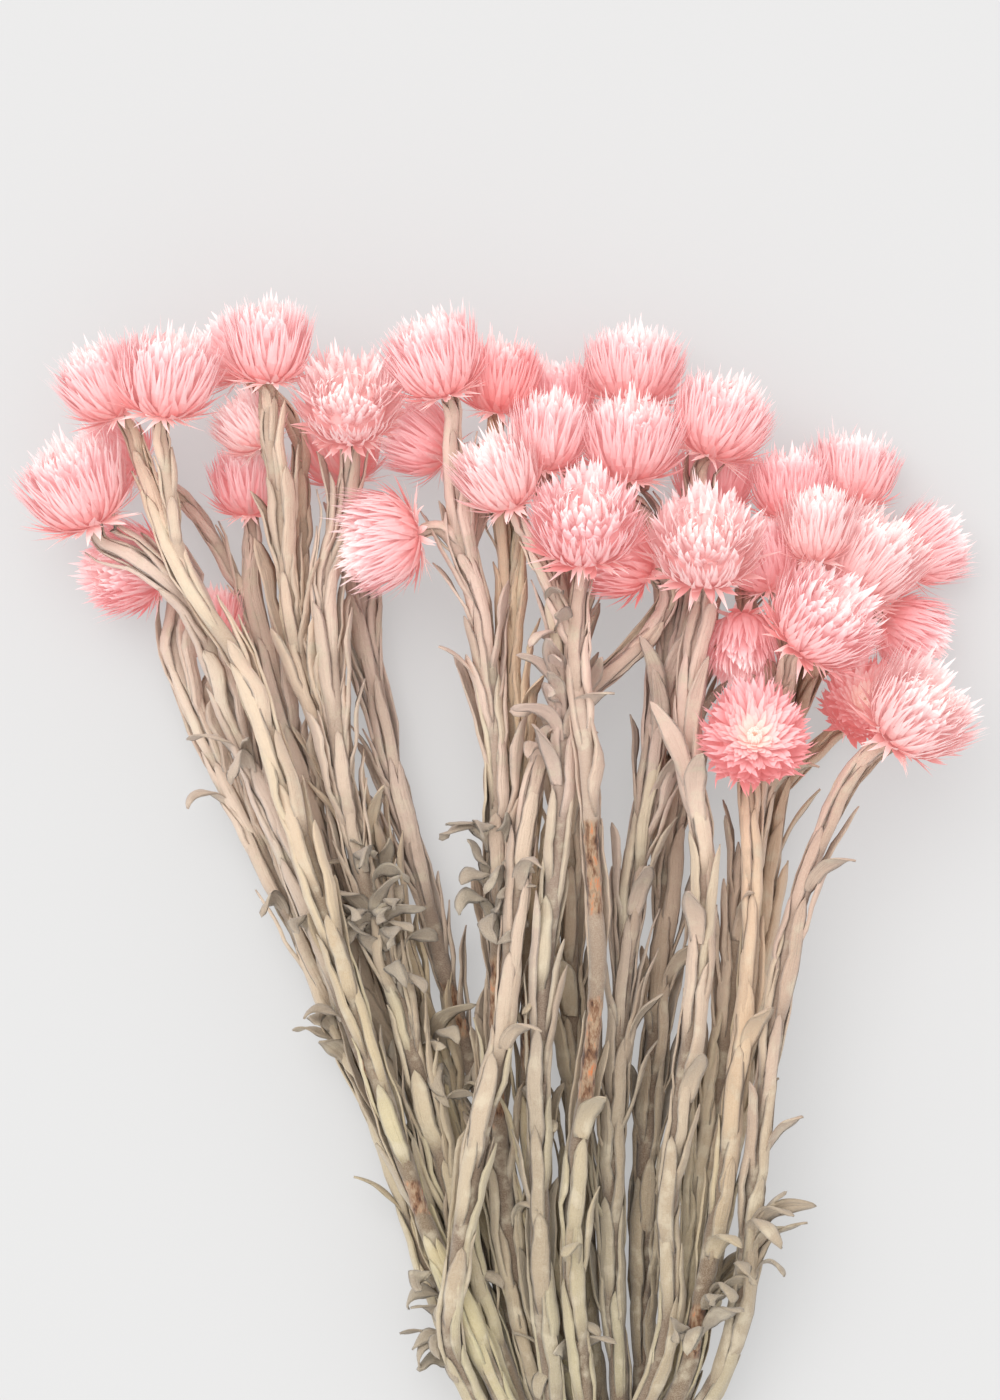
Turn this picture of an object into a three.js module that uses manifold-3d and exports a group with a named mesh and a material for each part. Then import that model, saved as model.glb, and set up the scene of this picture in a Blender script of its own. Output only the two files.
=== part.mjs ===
// Dried silver daisy: a tied bunch of pink paper daisies on felted stems.
// Millimetres, +Z up. The bunch lies flat: cut ends towards -Y, flower heads
// towards +Y, and the side that faces a viewer from above towards +Z.

import * as THREE from 'three';
import Module from 'manifold-3d';

const wasm = await Module();
wasm.setup();

// Driving dimensions
const TIE_Y = -205;
const TIE_X = 35;
const TIE_BAND = 9;
const TIE_THICK = 1.8;
const STEM_PITCH = 8.6;
const ROW_PITCH = 7.45;
const LOW_ROW_Z = 6.6;
const STEM_TIE_RADIUS = 4.2;
const STEM_LOW_RADIUS = 4.8;
const STEM_TOP_RADIUS = 3.9;
const NECK_RADIUS = 2.4;
const BRANCH_RADIUS = 2.9;
const CUT_END_Y = -246;
const STEM_SIDES = 5;
const RING_SPACING = 17.5;
const LEAF_LIFT = 3.6;
const LEAF_REACH = 11;
const BARE_LENGTH = 62;
const JOINT_GAP = 0.35;
const NECK_LENGTH = 8;
const MAX_BEND = 0.5;

// Flower heads: foot of the head, axis it faces along, widest radius, height,
// bracts in a ring, form ("bell" is half closed, "open" shows its disc) and tone.
const HEADS = {
  head_01: { foot: [-152, 169, 40], axis: [-0.38, 0.88, 0.28], radius: 19.5, height: 31, count: 10, form: 'bell', tone: 1 },
  head_02: { foot: [-136, 190, 12.88], axis: [-0.85, 0.5, 0.1], radius: 15.5, height: 26, count: 8, form: 'bell', tone: 2 },
  head_03: { foot: [-141, 210, 44], axis: [-0.47, 0.85, 0.2], radius: 16, height: 28, count: 8, form: 'bell', tone: 1 },
  head_04: { foot: [-124, 209, 59], axis: [0.15, 0.95, 0.25], radius: 18.5, height: 30, count: 9, form: 'bell', tone: 1 },
  head_05: { foot: [-129, 152, 15], axis: [-0.85, 0.05, 0.5], radius: 17, height: 27, count: 9, form: 'bell', tone: 2 },
  head_06: { foot: [-107, 121, 13], axis: [-0.05, 0.99, 0], radius: 11.8, height: 23, count: 8, form: 'bell', tone: 3 },
  head_07: { foot: [-94, 227, 23], axis: [-0.6, 0.8, 0], radius: 15, height: 23, count: 8, form: 'bell', tone: 1 },
  head_08: { foot: [-84, 222, 56], axis: [0, 0.97, 0.25], radius: 15.5, height: 29, count: 9, form: 'bell', tone: 1 },
  head_09: { foot: [-87, 198, 38], axis: [-0.55, 0.83, 0], radius: 13, height: 21, count: 8, form: 'bell', tone: 0 },
  head_10: { foot: [-93, 173, 16], axis: [-0.05, 0.98, 0.15], radius: 14.5, height: 25, count: 8, form: 'bell', tone: 2 },
  head_11: { foot: [-54, 206, 48], axis: [0, 0.65, 0.75], radius: 19, height: 25, count: 10, form: 'bell', tone: 0 },
  head_12: { foot: [-56, 185, 16], axis: [-0.2, 0.97, 0.05], radius: 15.5, height: 27, count: 8, form: 'bell', tone: 3 },
  head_13: { foot: [-28, 165, 52], axis: [-0.95, -0.2, 0.15], radius: 19, height: 28, count: 10, form: 'bell', tone: 1 },
  head_14: { foot: [-17, 217, 60], axis: [-0.3, 0.9, 0.25], radius: 17.5, height: 29, count: 9, form: 'bell', tone: 1 },
  head_15: { foot: [-16, 195, 35], axis: [-0.85, 0.5, 0], radius: 14.5, height: 26, count: 8, form: 'bell', tone: 2 },
  head_16: { foot: [2, 211, 42], axis: [0.1, 0.97, 0.15], radius: 14.5, height: 27, count: 8, form: 'bell', tone: 3 },
  head_17: { foot: [8, 175, 63], axis: [-0.4, 0.85, 0.3], radius: 15.2, height: 27, count: 9, form: 'bell', tone: 0 },
  head_18: { foot: [27, 205, 18], axis: [-0.15, 0.97, 0.1], radius: 15.5, height: 26, count: 8, form: 'bell', tone: 2 },
  head_19: { foot: [20, 189, 51], axis: [0.1, 0.95, 0.2], radius: 14.7, height: 28, count: 9, form: 'bell', tone: 1 },
  head_20: { foot: [53, 215, 27], axis: [0.1, 0.97, 0.1], radius: 18.5, height: 28, count: 9, form: 'bell', tone: 1 },
  head_21: { foot: [52, 186, 46], axis: [0.05, 0.95, 0.25], radius: 19, height: 30, count: 10, form: 'bell', tone: 1 },
  head_22: { foot: [82, 195, 42], axis: [0.35, 0.9, 0.2], radius: 18.5, height: 29, count: 9, form: 'bell', tone: 1 },
  head_23: { foot: [84, 174, 20], axis: [0.1, 0.97, 0.05], radius: 15.5, height: 25, count: 8, form: 'bell', tone: 2 },
  head_24: { foot: [35, 158, 66], axis: [0, 0.75, 0.65], radius: 20.5, height: 27, count: 10, form: 'bell', tone: 1 },
  head_25: { foot: [59, 151, 45], axis: [-0.85, 0.35, 0.35], radius: 15.5, height: 25, count: 8, form: 'bell', tone: 3 },
  head_26: { foot: [80, 151, 60], axis: [0, 0.7, 0.7], radius: 20.5, height: 27, count: 10, form: 'bell', tone: 0 },
  head_27: { foot: [107, 144, 40], axis: [-0.3, 0.93, 0.15], radius: 15, height: 26, count: 8, form: 'bell', tone: 2 },
  head_28: { foot: [96, 133, 37], axis: [-0.06, -0.85, 0.5], radius: 13.5, height: 25, count: 8, form: 'bell', tone: 2 },
  head_29: { foot: [114, 171, 33], axis: [0, 0.97, 0.1], radius: 15, height: 25, count: 8, form: 'bell', tone: 2 },
  head_30: { foot: [137, 176, 17], axis: [0.15, 0.97, 0.05], radius: 16.5, height: 27, count: 9, form: 'bell', tone: 1 },
  head_31: { foot: [122, 155, 51], axis: [0.05, 0.95, 0.3], radius: 13.5, height: 26, count: 8, form: 'bell', tone: 0 },
  head_32: { foot: [136, 144, 33], axis: [0.55, 0.75, 0.3], radius: 19, height: 31, count: 10, form: 'bell', tone: 0 },
  head_33: { foot: [157.5, 154.5, 15.46], axis: [0.85, 0.5, 0], radius: 15.6, height: 26, count: 8, form: 'bell', tone: 1 },
  head_34: { foot: [117, 123, 60], axis: [0.55, 0.65, 0.5], radius: 21, height: 27, count: 10, form: 'bell', tone: 1 },
  head_35: { foot: [151, 134, 17], axis: [0.83, -0.5, 0.1], radius: 15, height: 25, count: 8, form: 'bell', tone: 2 },
  head_36: { foot: [142, 98, 12], axis: [0.1, 0.35, 0.93], radius: 17.5, height: 20, count: 9, form: 'open', tone: 3 },
  head_37: { foot: [152, 89, 53], axis: [0.61, 0.61, 0.51], radius: 20, height: 28, count: 10, form: 'bell', tone: 0 },
  head_38: { foot: [99, 85, 48], axis: [0, 0.3, 0.95], radius: 20.8, height: 22, count: 10, form: 'open', tone: 2 },
};

// Stems: row in the tie (0 is the lowest), place in the row, route of the main
// stem above the tie, head that it carries, and side branches with their heads.
const STEMS = {
  stem_01: { row: 0, slot: 0, head: 'head_05', route: [
    [-8, -164, 8], [-23, -122, 10], [-35, -84, 12], [-48, -50, 13], [-60, -24, 14], [-72, 5, 15],
    [-84, 32, 16], [-94, 52, 17], [-105, 75, 18], [-115, 98, 19], [-122, 118, 19], [-122, 136, 13]],
    branches: [{ head: 'head_06', route: [[-99, 62, 17], [-108, 90, 14], [-110, 106, 13]] }] },
  stem_02: { row: 0, slot: 1, head: 'head_10', route: [
    [3, -164, 8], [-10, -122, 10], [-21, -84, 12], [-33, -46, 13], [-46, -12, 14], [-56, 18, 15],
    [-65, 45, 16], [-73, 71, 17], [-81, 98, 17], [-87, 121, 16], [-92, 140, 15], [-93, 159, 15]],
    branches: [{ head: 'head_02', route: [[-89, 128, 16], [-100, 150, 14], [-110, 168, 12.5], [-120, 180, 11.5]] }] },
  stem_03: { row: 0, slot: 2, head: 'head_08', route: [
    [14, -164, 8], [3, -122, 10], [-7, -84, 12], [-17, -46, 14], [-28, -12, 16], [-39, 20, 18],
    [-49, 49, 21], [-60, 75, 24], [-70, 102, 28], [-76, 128, 33], [-79, 155, 38], [-81, 182, 45],
    [-84, 203, 52]],
    branches: [
      { head: 'head_09', route: [[-80, 162, 40], [-81, 178, 38]] },
      { head: 'head_07', route: [[-76, 128, 33], [-73, 152, 30], [-73, 182, 27], [-75, 204, 25], [-83, 217, 23]] }] },
  stem_04: { row: 0, slot: 3, head: 'head_12', route: [
    [24, -164, 8], [14, -122, 10], [5, -84, 12], [-6, -46, 13], [-16, -12, 14], [-25, 22, 14],
    [-33, 52, 14], [-40, 83, 14], [-46, 113, 14], [-50, 140, 13], [-53, 163, 13]],
    branches: [] },
  stem_05: { row: 0, slot: 4, head: 'head_18', route: [
    [40, -164, 8], [36, -122, 9], [33, -84, 10], [32, -43, 10], [30, -1, 11], [30, 41, 12],
    [28, 79, 13], [28, 117, 14], [31, 147, 15], [33, 174, 16], [30, 193, 17]],
    branches: [{ head: 'head_20', route: [[30, 142, 15], [36, 162, 18], [45, 182, 22], [52, 203, 26]] }] },
  stem_06: { row: 0, slot: 5, head: 'head_22', route: [
    [58, -164, 8], [58, -122, 9], [59, -84, 10], [62, -43, 11], [65, -1, 12], [69, 41, 14],
    [73, 79, 17], [77, 113, 23], [80, 144, 32], [80, 172, 40]],
    branches: [{ head: 'head_29', route: [[76, 105, 21], [86, 120, 17], [95, 134, 14], [106, 148, 16], [112, 157, 23]] }] },
  stem_07: { row: 0, slot: 6, head: 'head_32', route: [
    [75, -164, 8], [84, -122, 9], [90, -84, 10], [97, -43, 11], [102, -1, 13], [106, 33, 14],
    [109, 64, 15], [115, 90, 18], [123, 115, 24], [131, 134, 30]],
    branches: [
      { head: 'head_30', route: [[122, 112, 23], [128, 130, 17], [132, 148, 16], [135, 164, 17]] },
      { head: 'head_33', route: [[119, 103, 21], [129, 118, 17], [138, 136, 15], [147, 149, 14]] },
      { head: 'head_35', route: [[126, 114, 18], [136, 128, 17], [143, 136, 17]] },
      { head: 'head_36', route: [[109, 64, 15], [120, 77, 11], [131, 87, 6], [138, 93, 5]] }] },
  stem_08: { row: 1, slot: 0, head: 'head_01', route: [
    [-3, -168, 17], [-17, -126, 22], [-28, -90, 25], [-43, -52, 28], [-56, -16, 31], [-68, 18, 33],
    [-79, 45, 34], [-89, 70, 35], [-99, 96, 36], [-109, 125, 37], [-121, 144, 41], [-136, 156, 42]],
    branches: [] },
  stem_09: { row: 1, slot: 1, head: 'head_11', route: [
    [8, -164, 17], [-6, -122, 22], [-16, -88, 26], [-26, -50, 29], [-36, -12, 31], [-46, 22, 33],
    [-54, 52, 34], [-59, 87, 35], [-62, 121, 36], [-63, 149, 37], [-56, 172, 38], [-54, 194, 42]],
    branches: [] },
  stem_10: { row: 1, slot: 2, head: 'head_14', route: [
    [18, -164, 17], [9, -122, 22], [4, -81, 26], [2, -43, 29], [2, -1, 32], [2, 37, 36],
    [2, 75, 40], [-1, 109, 43], [-5, 140, 46], [-11, 161, 49], [-14, 182, 52], [-15, 203, 57]],
    branches: [
      { head: 'head_13', route: [[-5, 136, 45], [-9, 152, 49]] },
      { head: 'head_15', route: [[-9, 155, 47], [-5, 171, 42], [-3, 183, 37]] }] },
  stem_11: { row: 1, slot: 3, head: 'head_16', route: [
    [32, -164, 17], [23, -122, 21], [17, -81, 25], [14, -39, 28], [14, 3, 30], [12, 41, 32],
    [9, 79, 34], [6, 117, 36], [6, 151, 37], [4, 182, 38], [2, 200, 40]],
    branches: [] },
  stem_12: { row: 1, slot: 4, head: 'head_21', route: [
    [49, -164, 17], [46, -122, 21], [46, -81, 25], [48, -39, 28], [51, 3, 31], [56, 45, 33],
    [62, 83, 34], [67, 117, 34], [68, 140, 34], [66, 160, 36], [56, 176, 41]],
    branches: [{ head: 'head_23', route: [[68, 128, 34], [74, 149, 26], [81, 163, 20]] }] },
  stem_13: { row: 1, slot: 5, head: 'head_34', route: [
    [68, -164, 17], [76, -122, 21], [81, -81, 25], [88, -39, 28], [93, 3, 30], [98, 37, 31],
    [103, 64, 32], [108, 85, 35], [110, 102, 43], [112, 115, 54]],
    branches: [
      { head: 'head_27', route: [[109, 92, 39], [112, 108, 40], [112, 124, 39]] },
      { head: 'head_28', route: [[109, 90, 38], [107, 104, 31], [104, 120, 23], [100, 134, 20.5], [97.5, 141.6, 23], [96.8, 143, 28.4]] },
      { head: 'head_31', route: [[112, 112, 40], [116, 128, 42], [120, 145, 46]] }] },
  stem_14: { row: 2, slot: 0, head: 'head_25', route: [
    [-10, -160, 31], [-16, -138, 40], [-12, -105, 47], [-6, -71, 48], [3, -29, 48], [9, 20, 48],
    [14, 62, 45], [26, 94, 41], [46, 114, 41], [60, 127, 41], [67, 139, 41]],
    branches: [] },
  stem_15: { row: 2, slot: 1, head: 'head_03', route: [
    [1, -160, 28], [-9, -134, 32], [-22, -107, 35], [-35, -69, 40], [-49, -24, 44], [-62, 18, 49],
    [-73, 52, 51], [-84, 87, 52], [-97, 119, 52], [-115, 146, 51], [-128, 176, 46], [-136, 199, 43]],
    branches: [{ head: 'head_04', route: [[-118, 152, 50], [-121, 175, 54], [-124, 196, 57]] }] },
  stem_16: { row: 2, slot: 2, head: 'head_19', route: [
    [23, -160, 28], [19, -126, 33], [18, -81, 38], [18, -31, 43], [21, 11, 48], [25, 45, 51],
    [27, 79, 53], [27, 113, 54], [24, 144, 54], [20, 172, 50]],
    branches: [] },
  stem_17: { row: 2, slot: 3, head: 'head_24', route: [
    [35, -160, 28], [31, -126, 33], [32, -81, 39], [37, -37, 45], [40, -1, 50], [38, 41, 55],
    [36, 79, 59], [32, 113, 62], [33, 140, 61]],
    branches: [{ head: 'head_17', route: [[31, 118, 62], [23, 142, 62], [14, 162, 60]] }] },
  stem_18: { row: 2, slot: 4, head: 'head_26', route: [
    [62, -160, 29], [68, -132, 34], [67, -92, 40], [73, -43, 46], [79, 7, 51], [80, 45, 52],
    [74, 84, 50], [76, 119, 51], [80, 140, 51]],
    branches: [] },
  stem_19: { row: 2, slot: 5, head: 'head_38', route: [
    [73, -160, 29], [79, -132, 34], [87, -88, 38], [93, -43, 42], [98, 3, 45], [99, 41, 44],
    [98, 62, 40], [99, 75, 38]],
    branches: [] },
  stem_20: { row: 2, slot: 6, head: 'head_37', route: [
    [86, -160, 28], [95, -130, 33], [99, -92, 38], [105, -43, 43], [111, -1, 46], [118, 30, 48],
    [127, 54, 49], [135, 71, 49], [144, 82, 50]],
    branches: [] },
};

const HEAD_TONES = ['#f7d9db', '#f6bdc3', '#f2a9ae', '#ec9695'];
const STEM_TONES = ['#c8b79b', '#c9b6a4', '#cfc3a0', '#bfae9b'];

// A small seeded draw, the same for every build
function makeDraw(seed) {
  let state = (seed * 7919 + 12345) % 2147483647;
  return () => {
    state = (state * 48271) % 2147483647;
    return state / 2147483647;
  };
}

const vec = (a) => new THREE.Vector3(a[0], a[1], a[2]);

// Centripetal Catmull-Rom curve through the route, sampled every couple of millimetres
function samplePath(points) {
  const samples = [];
  for (let i = 0; i < points.length - 1; i++) {
    const p1 = points[i];
    const p2 = points[i + 1];
    const p0 = i > 0 ? points[i - 1] : p1.clone().multiplyScalar(2).sub(p2);
    const p3 = i + 2 < points.length ? points[i + 2] : p2.clone().multiplyScalar(2).sub(p1);
    const d0 = Math.sqrt(p0.distanceTo(p1));
    const d1 = Math.sqrt(p1.distanceTo(p2));
    const d2 = Math.sqrt(p2.distanceTo(p3));
    const slope = (a, b, c, da, db) => b.clone().sub(a).divideScalar(da)
      .addScaledVector(c.clone().sub(a), -1 / (da + db)).addScaledVector(c.clone().sub(b), 1 / db);
    const m1 = slope(p0, p1, p2, d0, d1).multiplyScalar(d1);
    const m2 = slope(p1, p2, p3, d1, d2).multiplyScalar(d1);
    const steps = Math.max(2, Math.round(p1.distanceTo(p2) / 2));
    for (let k = 0; k < steps; k++) {
      const t = k / steps;
      const t2 = t * t;
      const t3 = t2 * t;
      samples.push(new THREE.Vector3()
        .addScaledVector(p1, 2 * t3 - 3 * t2 + 1).addScaledVector(m1, t3 - 2 * t2 + t)
        .addScaledVector(p2, 3 * t2 - 2 * t3).addScaledVector(m2, t3 - t2));
    }
  }
  samples.push(points[points.length - 1].clone());
  const lengths = [0];
  for (let i = 1; i < samples.length; i++) {
    lengths.push(lengths[i - 1] + samples[i].distanceTo(samples[i - 1]));
  }
  return { samples, lengths, total: lengths[lengths.length - 1] };
}

function pointAt(path, s) {
  const { samples, lengths } = path;
  let i = 1;
  while (i < samples.length - 1 && lengths[i] < s) i++;
  const span = lengths[i] - lengths[i - 1];
  const t = Math.min(1.6, Math.max(0, (s - lengths[i - 1]) / span));
  return samples[i - 1].clone().lerp(samples[i], t);
}

function tangentAt(path, s) {
  const before = pointAt(path, Math.max(0, s - 1.5));
  const after = pointAt(path, Math.min(path.total, s + 1.5));
  return after.sub(before).normalize();
}

// Frames carried along the path without twist, starting from a given side
function carryFrames(path, stations, firstSide) {
  const frames = [];
  let side = firstSide.clone();
  for (const s of stations) {
    const tangent = tangentAt(path, s);
    side = side.clone().addScaledVector(tangent, -side.dot(tangent)).normalize();
    frames.push({ origin: pointAt(path, s), tangent, side, up: new THREE.Vector3().crossVectors(tangent, side) });
  }
  return frames;
}

function rimPoint(frame, angle, radius) {
  return frame.origin.clone()
    .addScaledVector(frame.side, Math.cos(angle) * radius)
    .addScaledVector(frame.up, Math.sin(angle) * radius);
}

function distanceToPath(point, samples) {
  let best = Infinity;
  for (const p of samples) best = Math.min(best, point.distanceToSquared(p));
  return Math.sqrt(best);
}

// Ring positions: evenly spaced, closer together where the stem bends
function ringStations(path, spacing) {
  const stations = [0];
  let last = 0;
  for (let s = 1; s < path.total; s += 1) {
    const bend = tangentAt(path, s).angleTo(tangentAt(path, last));
    if (s - last >= spacing || (bend > MAX_BEND && s - last >= 3)) {
      stations.push(s);
      last = s;
    }
  }
  if (path.total - last < 3) stations.pop();
  stations.push(path.total);
  return stations;
}

// Closed tube with leaves raised from its sides: each raised panel becomes a
// pointed leaf that leans up along the stem.
function leafyTube(path, radiusAt, firstSide, leafRule, spacing) {
  const stations = ringStations(path, spacing);
  const count = stations.length - 1;
  const frames = carryFrames(path, stations, firstSide);
  const positions = [];
  const faces = [];
  const push = (p) => positions.push(p) - 1;
  const rings = frames.map((frame, i) => {
    const ring = [];
    for (let k = 0; k < STEM_SIDES; k++) {
      ring.push(push(rimPoint(frame, (k / STEM_SIDES) * Math.PI * 2, radiusAt(stations[i], i))));
    }
    return ring;
  });
  for (let i = 0; i < count; i++) {
    for (let k = 0; k < STEM_SIDES; k++) {
      const next = (k + 1) % STEM_SIDES;
      const a = rings[i][k];
      const b = rings[i][next];
      const c = rings[i + 1][next];
      const d = rings[i + 1][k];
      const tip = leafRule ? leafRule(i, k, stations, frames) : null;
      if (tip) {
        const t = push(tip);
        faces.push([a, b, t], [b, c, t], [c, d, t], [d, a, t]);
      } else {
        faces.push([a, b, c], [a, c, d]);
      }
    }
  }
  for (let k = 1; k < STEM_SIDES - 1; k++) {
    faces.push([rings[0][0], rings[0][k + 1], rings[0][k]]);
    faces.push([rings[count][0], rings[count][k], rings[count][k + 1]]);
  }
  return { positions, faces };
}

function toSolid({ positions, faces }) {
  const vertProperties = new Float32Array(positions.length * 3);
  positions.forEach((p, i) => vertProperties.set([p.x, p.y, p.z], i * 3));
  return new wasm.Manifold(new wasm.Mesh({ numProp: 3, vertProperties, triVerts: new Uint32Array(faces.flat()) }));
}

function solidGeometry(solid) {
  const mesh = solid.getMesh();
  const geometry = new THREE.BufferGeometry();
  const flat = new Float32Array(mesh.numVert * 3);
  for (let i = 0; i < mesh.numVert; i++) {
    for (let k = 0; k < 3; k++) flat[i * 3 + k] = mesh.vertProperties[i * mesh.numProp + k];
  }
  geometry.setAttribute('position', new THREE.BufferAttribute(flat, 3));
  geometry.setIndex(Array.from(mesh.triVerts));
  return geometry;
}

function shellGeometry({ positions, faces }) {
  const geometry = new THREE.BufferGeometry();
  geometry.setAttribute('position', new THREE.Float32BufferAttribute(positions.flatMap((p) => [p.x, p.y, p.z]), 3));
  geometry.setIndex(faces.flat());
  return geometry;
}

// Flower head. The cup's surface is a net of diamonds; each diamond is drawn
// out into a pointed papery bract, the low ones spreading, the high ones upright.
const FORMS = {
  bell: {
    cup: [[0.13, 0.0], [0.34, 0.07], [0.52, 0.2], [0.64, 0.36], [0.68, 0.54], [0.6, 0.7], [0.34, 0.78]],
    disc: 0.66,
    tips: [null, [0.84, 0.06], [1.0, 0.38], [1.0, 0.68], [0.88, 0.9], [0.58, 1.0]],
  },
  open: {
    cup: [[0.12, 0.0], [0.38, 0.08], [0.58, 0.2], [0.7, 0.36], [0.66, 0.52], [0.5, 0.62], [0.3, 0.64]],
    disc: 0.55,
    tips: [null, [0.84, 0.02], [1.0, 0.3], [0.98, 0.62], [0.8, 0.9], [0.5, 0.97]],
  },
};

function headFrame(head) {
  const axis = vec(head.axis).normalize();
  const hint = Math.abs(axis.z) > 0.8 ? new THREE.Vector3(0, 1, 0) : new THREE.Vector3(0, 0, 1);
  const side = hint.clone().addScaledVector(axis, -hint.dot(axis)).normalize();
  return { origin: vec(head.foot), tangent: axis, side, up: new THREE.Vector3().crossVectors(axis, side) };
}

function flowerHead(name, head) {
  const draw = makeDraw(Number(name.slice(-2)) + 40);
  const form = FORMS[head.form];
  const frame = headFrame(head);
  const n = head.count;
  const turn = draw() * Math.PI;
  const place = (angle, r, w) => rimPoint(frame, angle, r * head.radius)
    .addScaledVector(frame.tangent, JOINT_GAP + w * head.height);
  const positions = [];
  const faces = [];
  const push = (p) => positions.push(p) - 1;
  const top = form.cup.length - 1;
  const rings = form.cup.map(([r, w], k) => {
    const ring = [];
    for (let i = 0; i < n; i++) ring.push(push(place(turn + ((i + (k % 2) / 2) / n) * Math.PI * 2, r, w)));
    return ring;
  });
  // neighbour on the ring above or below, half a step to the right of point i
  const across = (k, i) => (k % 2 === 0 ? i % n : (i + 1) % n);
  for (let k = 1; k < top; k++) {
    for (let i = 0; i < n; i++) {
      const right = (i + 1) % n;
      const low = rings[k - 1][across(k, i)];
      const high = rings[k + 1][across(k, i)];
      const angle = turn + ((i + (k % 2) / 2 + 0.5) / n) * Math.PI * 2 + (draw() - 0.5) * 0.14;
      const [tipR, tipW] = form.tips[k];
      const stretch = 1 - draw() * 0.1;
      const tip = push(place(angle, tipR * stretch, tipW * (1 - draw() * 0.05)));
      faces.push([low, rings[k][right], tip], [rings[k][right], high, tip]);
      faces.push([high, rings[k][i], tip], [rings[k][i], low, tip]);
    }
  }
  const foot = push(place(0, 0, 0));
  const disc = push(place(0, 0, form.disc));
  for (let i = 0; i < n; i++) {
    const right = (i + 1) % n;
    faces.push([rings[0][right], rings[1][across(0, i)], rings[0][i]]);
    faces.push([rings[0][i], foot, rings[0][right]]);
    faces.push([rings[top][i], rings[top - 1][across(top, i)], rings[top][right]]);
    faces.push([rings[top][i], rings[top][right], disc]);
  }
  return { positions, faces };
}

// Head envelopes used to keep leaves clear
const envelopes = Object.entries(HEADS).map(([name, head]) => {
  const frame = headFrame(head);
  const centre = frame.origin.clone().addScaledVector(frame.tangent, head.height * 0.5);
  return { name, centre, reach: head.radius * 1.02 };
});

// Route of each stem from its cut end, through the tie, to the foot of its head
function headEnd(headName, back) {
  const head = HEADS[headName];
  return vec(head.foot).addScaledVector(vec(head.axis).normalize(), -back);
}

function mainRoute(name, stem) {
  const draw = makeDraw(Number(name.slice(-2)));
  const shift = stem.row === 1 ? 2.5 : 3;
  const x = TIE_X + (stem.slot - shift) * STEM_PITCH;
  const z = LOW_ROW_Z + stem.row * ROW_PITCH;
  const endX = TIE_X + (x - TIE_X) * 1.07;
  const endY = CUT_END_Y + draw() * 12;
  return [
    new THREE.Vector3(endX, endY, z),
    new THREE.Vector3(x, TIE_Y - TIE_BAND * 1.4, z),
    new THREE.Vector3(x, TIE_Y + TIE_BAND * 0.9, z),
    ...stem.route.map(vec),
    headEnd(stem.head, NECK_LENGTH),
    headEnd(stem.head, 0),
  ];
}

const mainPaths = {};
const allPaths = {};
for (const [name, stem] of Object.entries(STEMS)) {
  mainPaths[name] = samplePath(mainRoute(name, stem));
  allPaths[name] = [mainPaths[name]];
  for (const branch of stem.branches) {
    const route = branch.route.map(vec);
    let host = null;
    let best = Infinity;
    for (const path of allPaths[name]) {
      for (const p of path.samples) {
        const d = p.distanceTo(route[0]);
        if (d < best) {
          best = d;
          host = p;
        }
      }
    }
    route[0] = host.clone();
    route.push(headEnd(branch.head, NECK_LENGTH), headEnd(branch.head, 0));
    branch.path = samplePath(route);
    allPaths[name].push(branch.path);
  }
}

function leafRuleFor(name, path, seed, radiusAt, bareUntil) {
  const draw = makeDraw(seed);
  const others = Object.entries(allPaths)
    .filter(([other]) => other !== name)
    .flatMap(([, paths]) => paths.map((p) => p.samples));
  const own = allPaths[name].filter((p) => p !== path).map((p) => p.samples);
  return (i, k, stations, frames) => {
    const chance = draw();
    const size = draw();
    const panel = stations[i + 1] - stations[i];
    if (stations[i] < bareUntil || path.total - stations[i + 1] < 20 || panel < 9) return null;
    if ((i + k * 2) % 2 !== 0 && chance < 0.55) return null;
    if (chance > 0.93) return null;
    const showy = chance > 0.8 ? 1.6 : 1;
    for (const scale of [showy, 1, 0.65, 0.4]) {
      const lift = LEAF_LIFT * (0.7 + size * 0.7) * scale;
      const s = stations[i + 1] + LEAF_REACH * (0.4 + size * 0.6);
      const tangent = tangentAt(path, s);
      if (tangent.angleTo(frames[i].tangent) > 0.36) return null;
      const side = frames[i + 1].side.clone().addScaledVector(tangent, -frames[i + 1].side.dot(tangent)).normalize();
      const frame = { origin: pointAt(path, s), side, up: new THREE.Vector3().crossVectors(tangent, side) };
      const tip = rimPoint(frame, ((k + 0.5) / STEM_SIDES) * Math.PI * 2, radiusAt(s, i + 1) * 0.9 + lift);
      const middle = rimPoint(frames[i + 1], ((k + 0.5) / STEM_SIDES) * Math.PI * 2, radiusAt(s, i + 1) * 0.9 + lift * 0.6);
      const clearStems = others.every((samples) => {
        const gap = Math.min(distanceToPath(tip, samples), distanceToPath(middle, samples));
        return gap - STEM_LOW_RADIUS > lift + 0.7;
      });
      const clearHeads = envelopes.every((e) => tip.distanceTo(e.centre) > e.reach + 1);
      const clearOwn = own.every((samples) => distanceToPath(tip, samples) > BRANCH_RADIUS + 1);
      if (clearStems && clearHeads && clearOwn && tip.z > 0.8) return tip;
    }
    return null;
  };
}

const group = new THREE.Group();
const pieces = [];

function addPiece(name, geometry, colour, roughness) {
  const mesh = new THREE.Mesh(geometry, new THREE.MeshStandardMaterial({ color: colour, roughness, metalness: 0 }));
  mesh.name = name;
  pieces.push(mesh);
  group.add(mesh);
}

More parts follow.
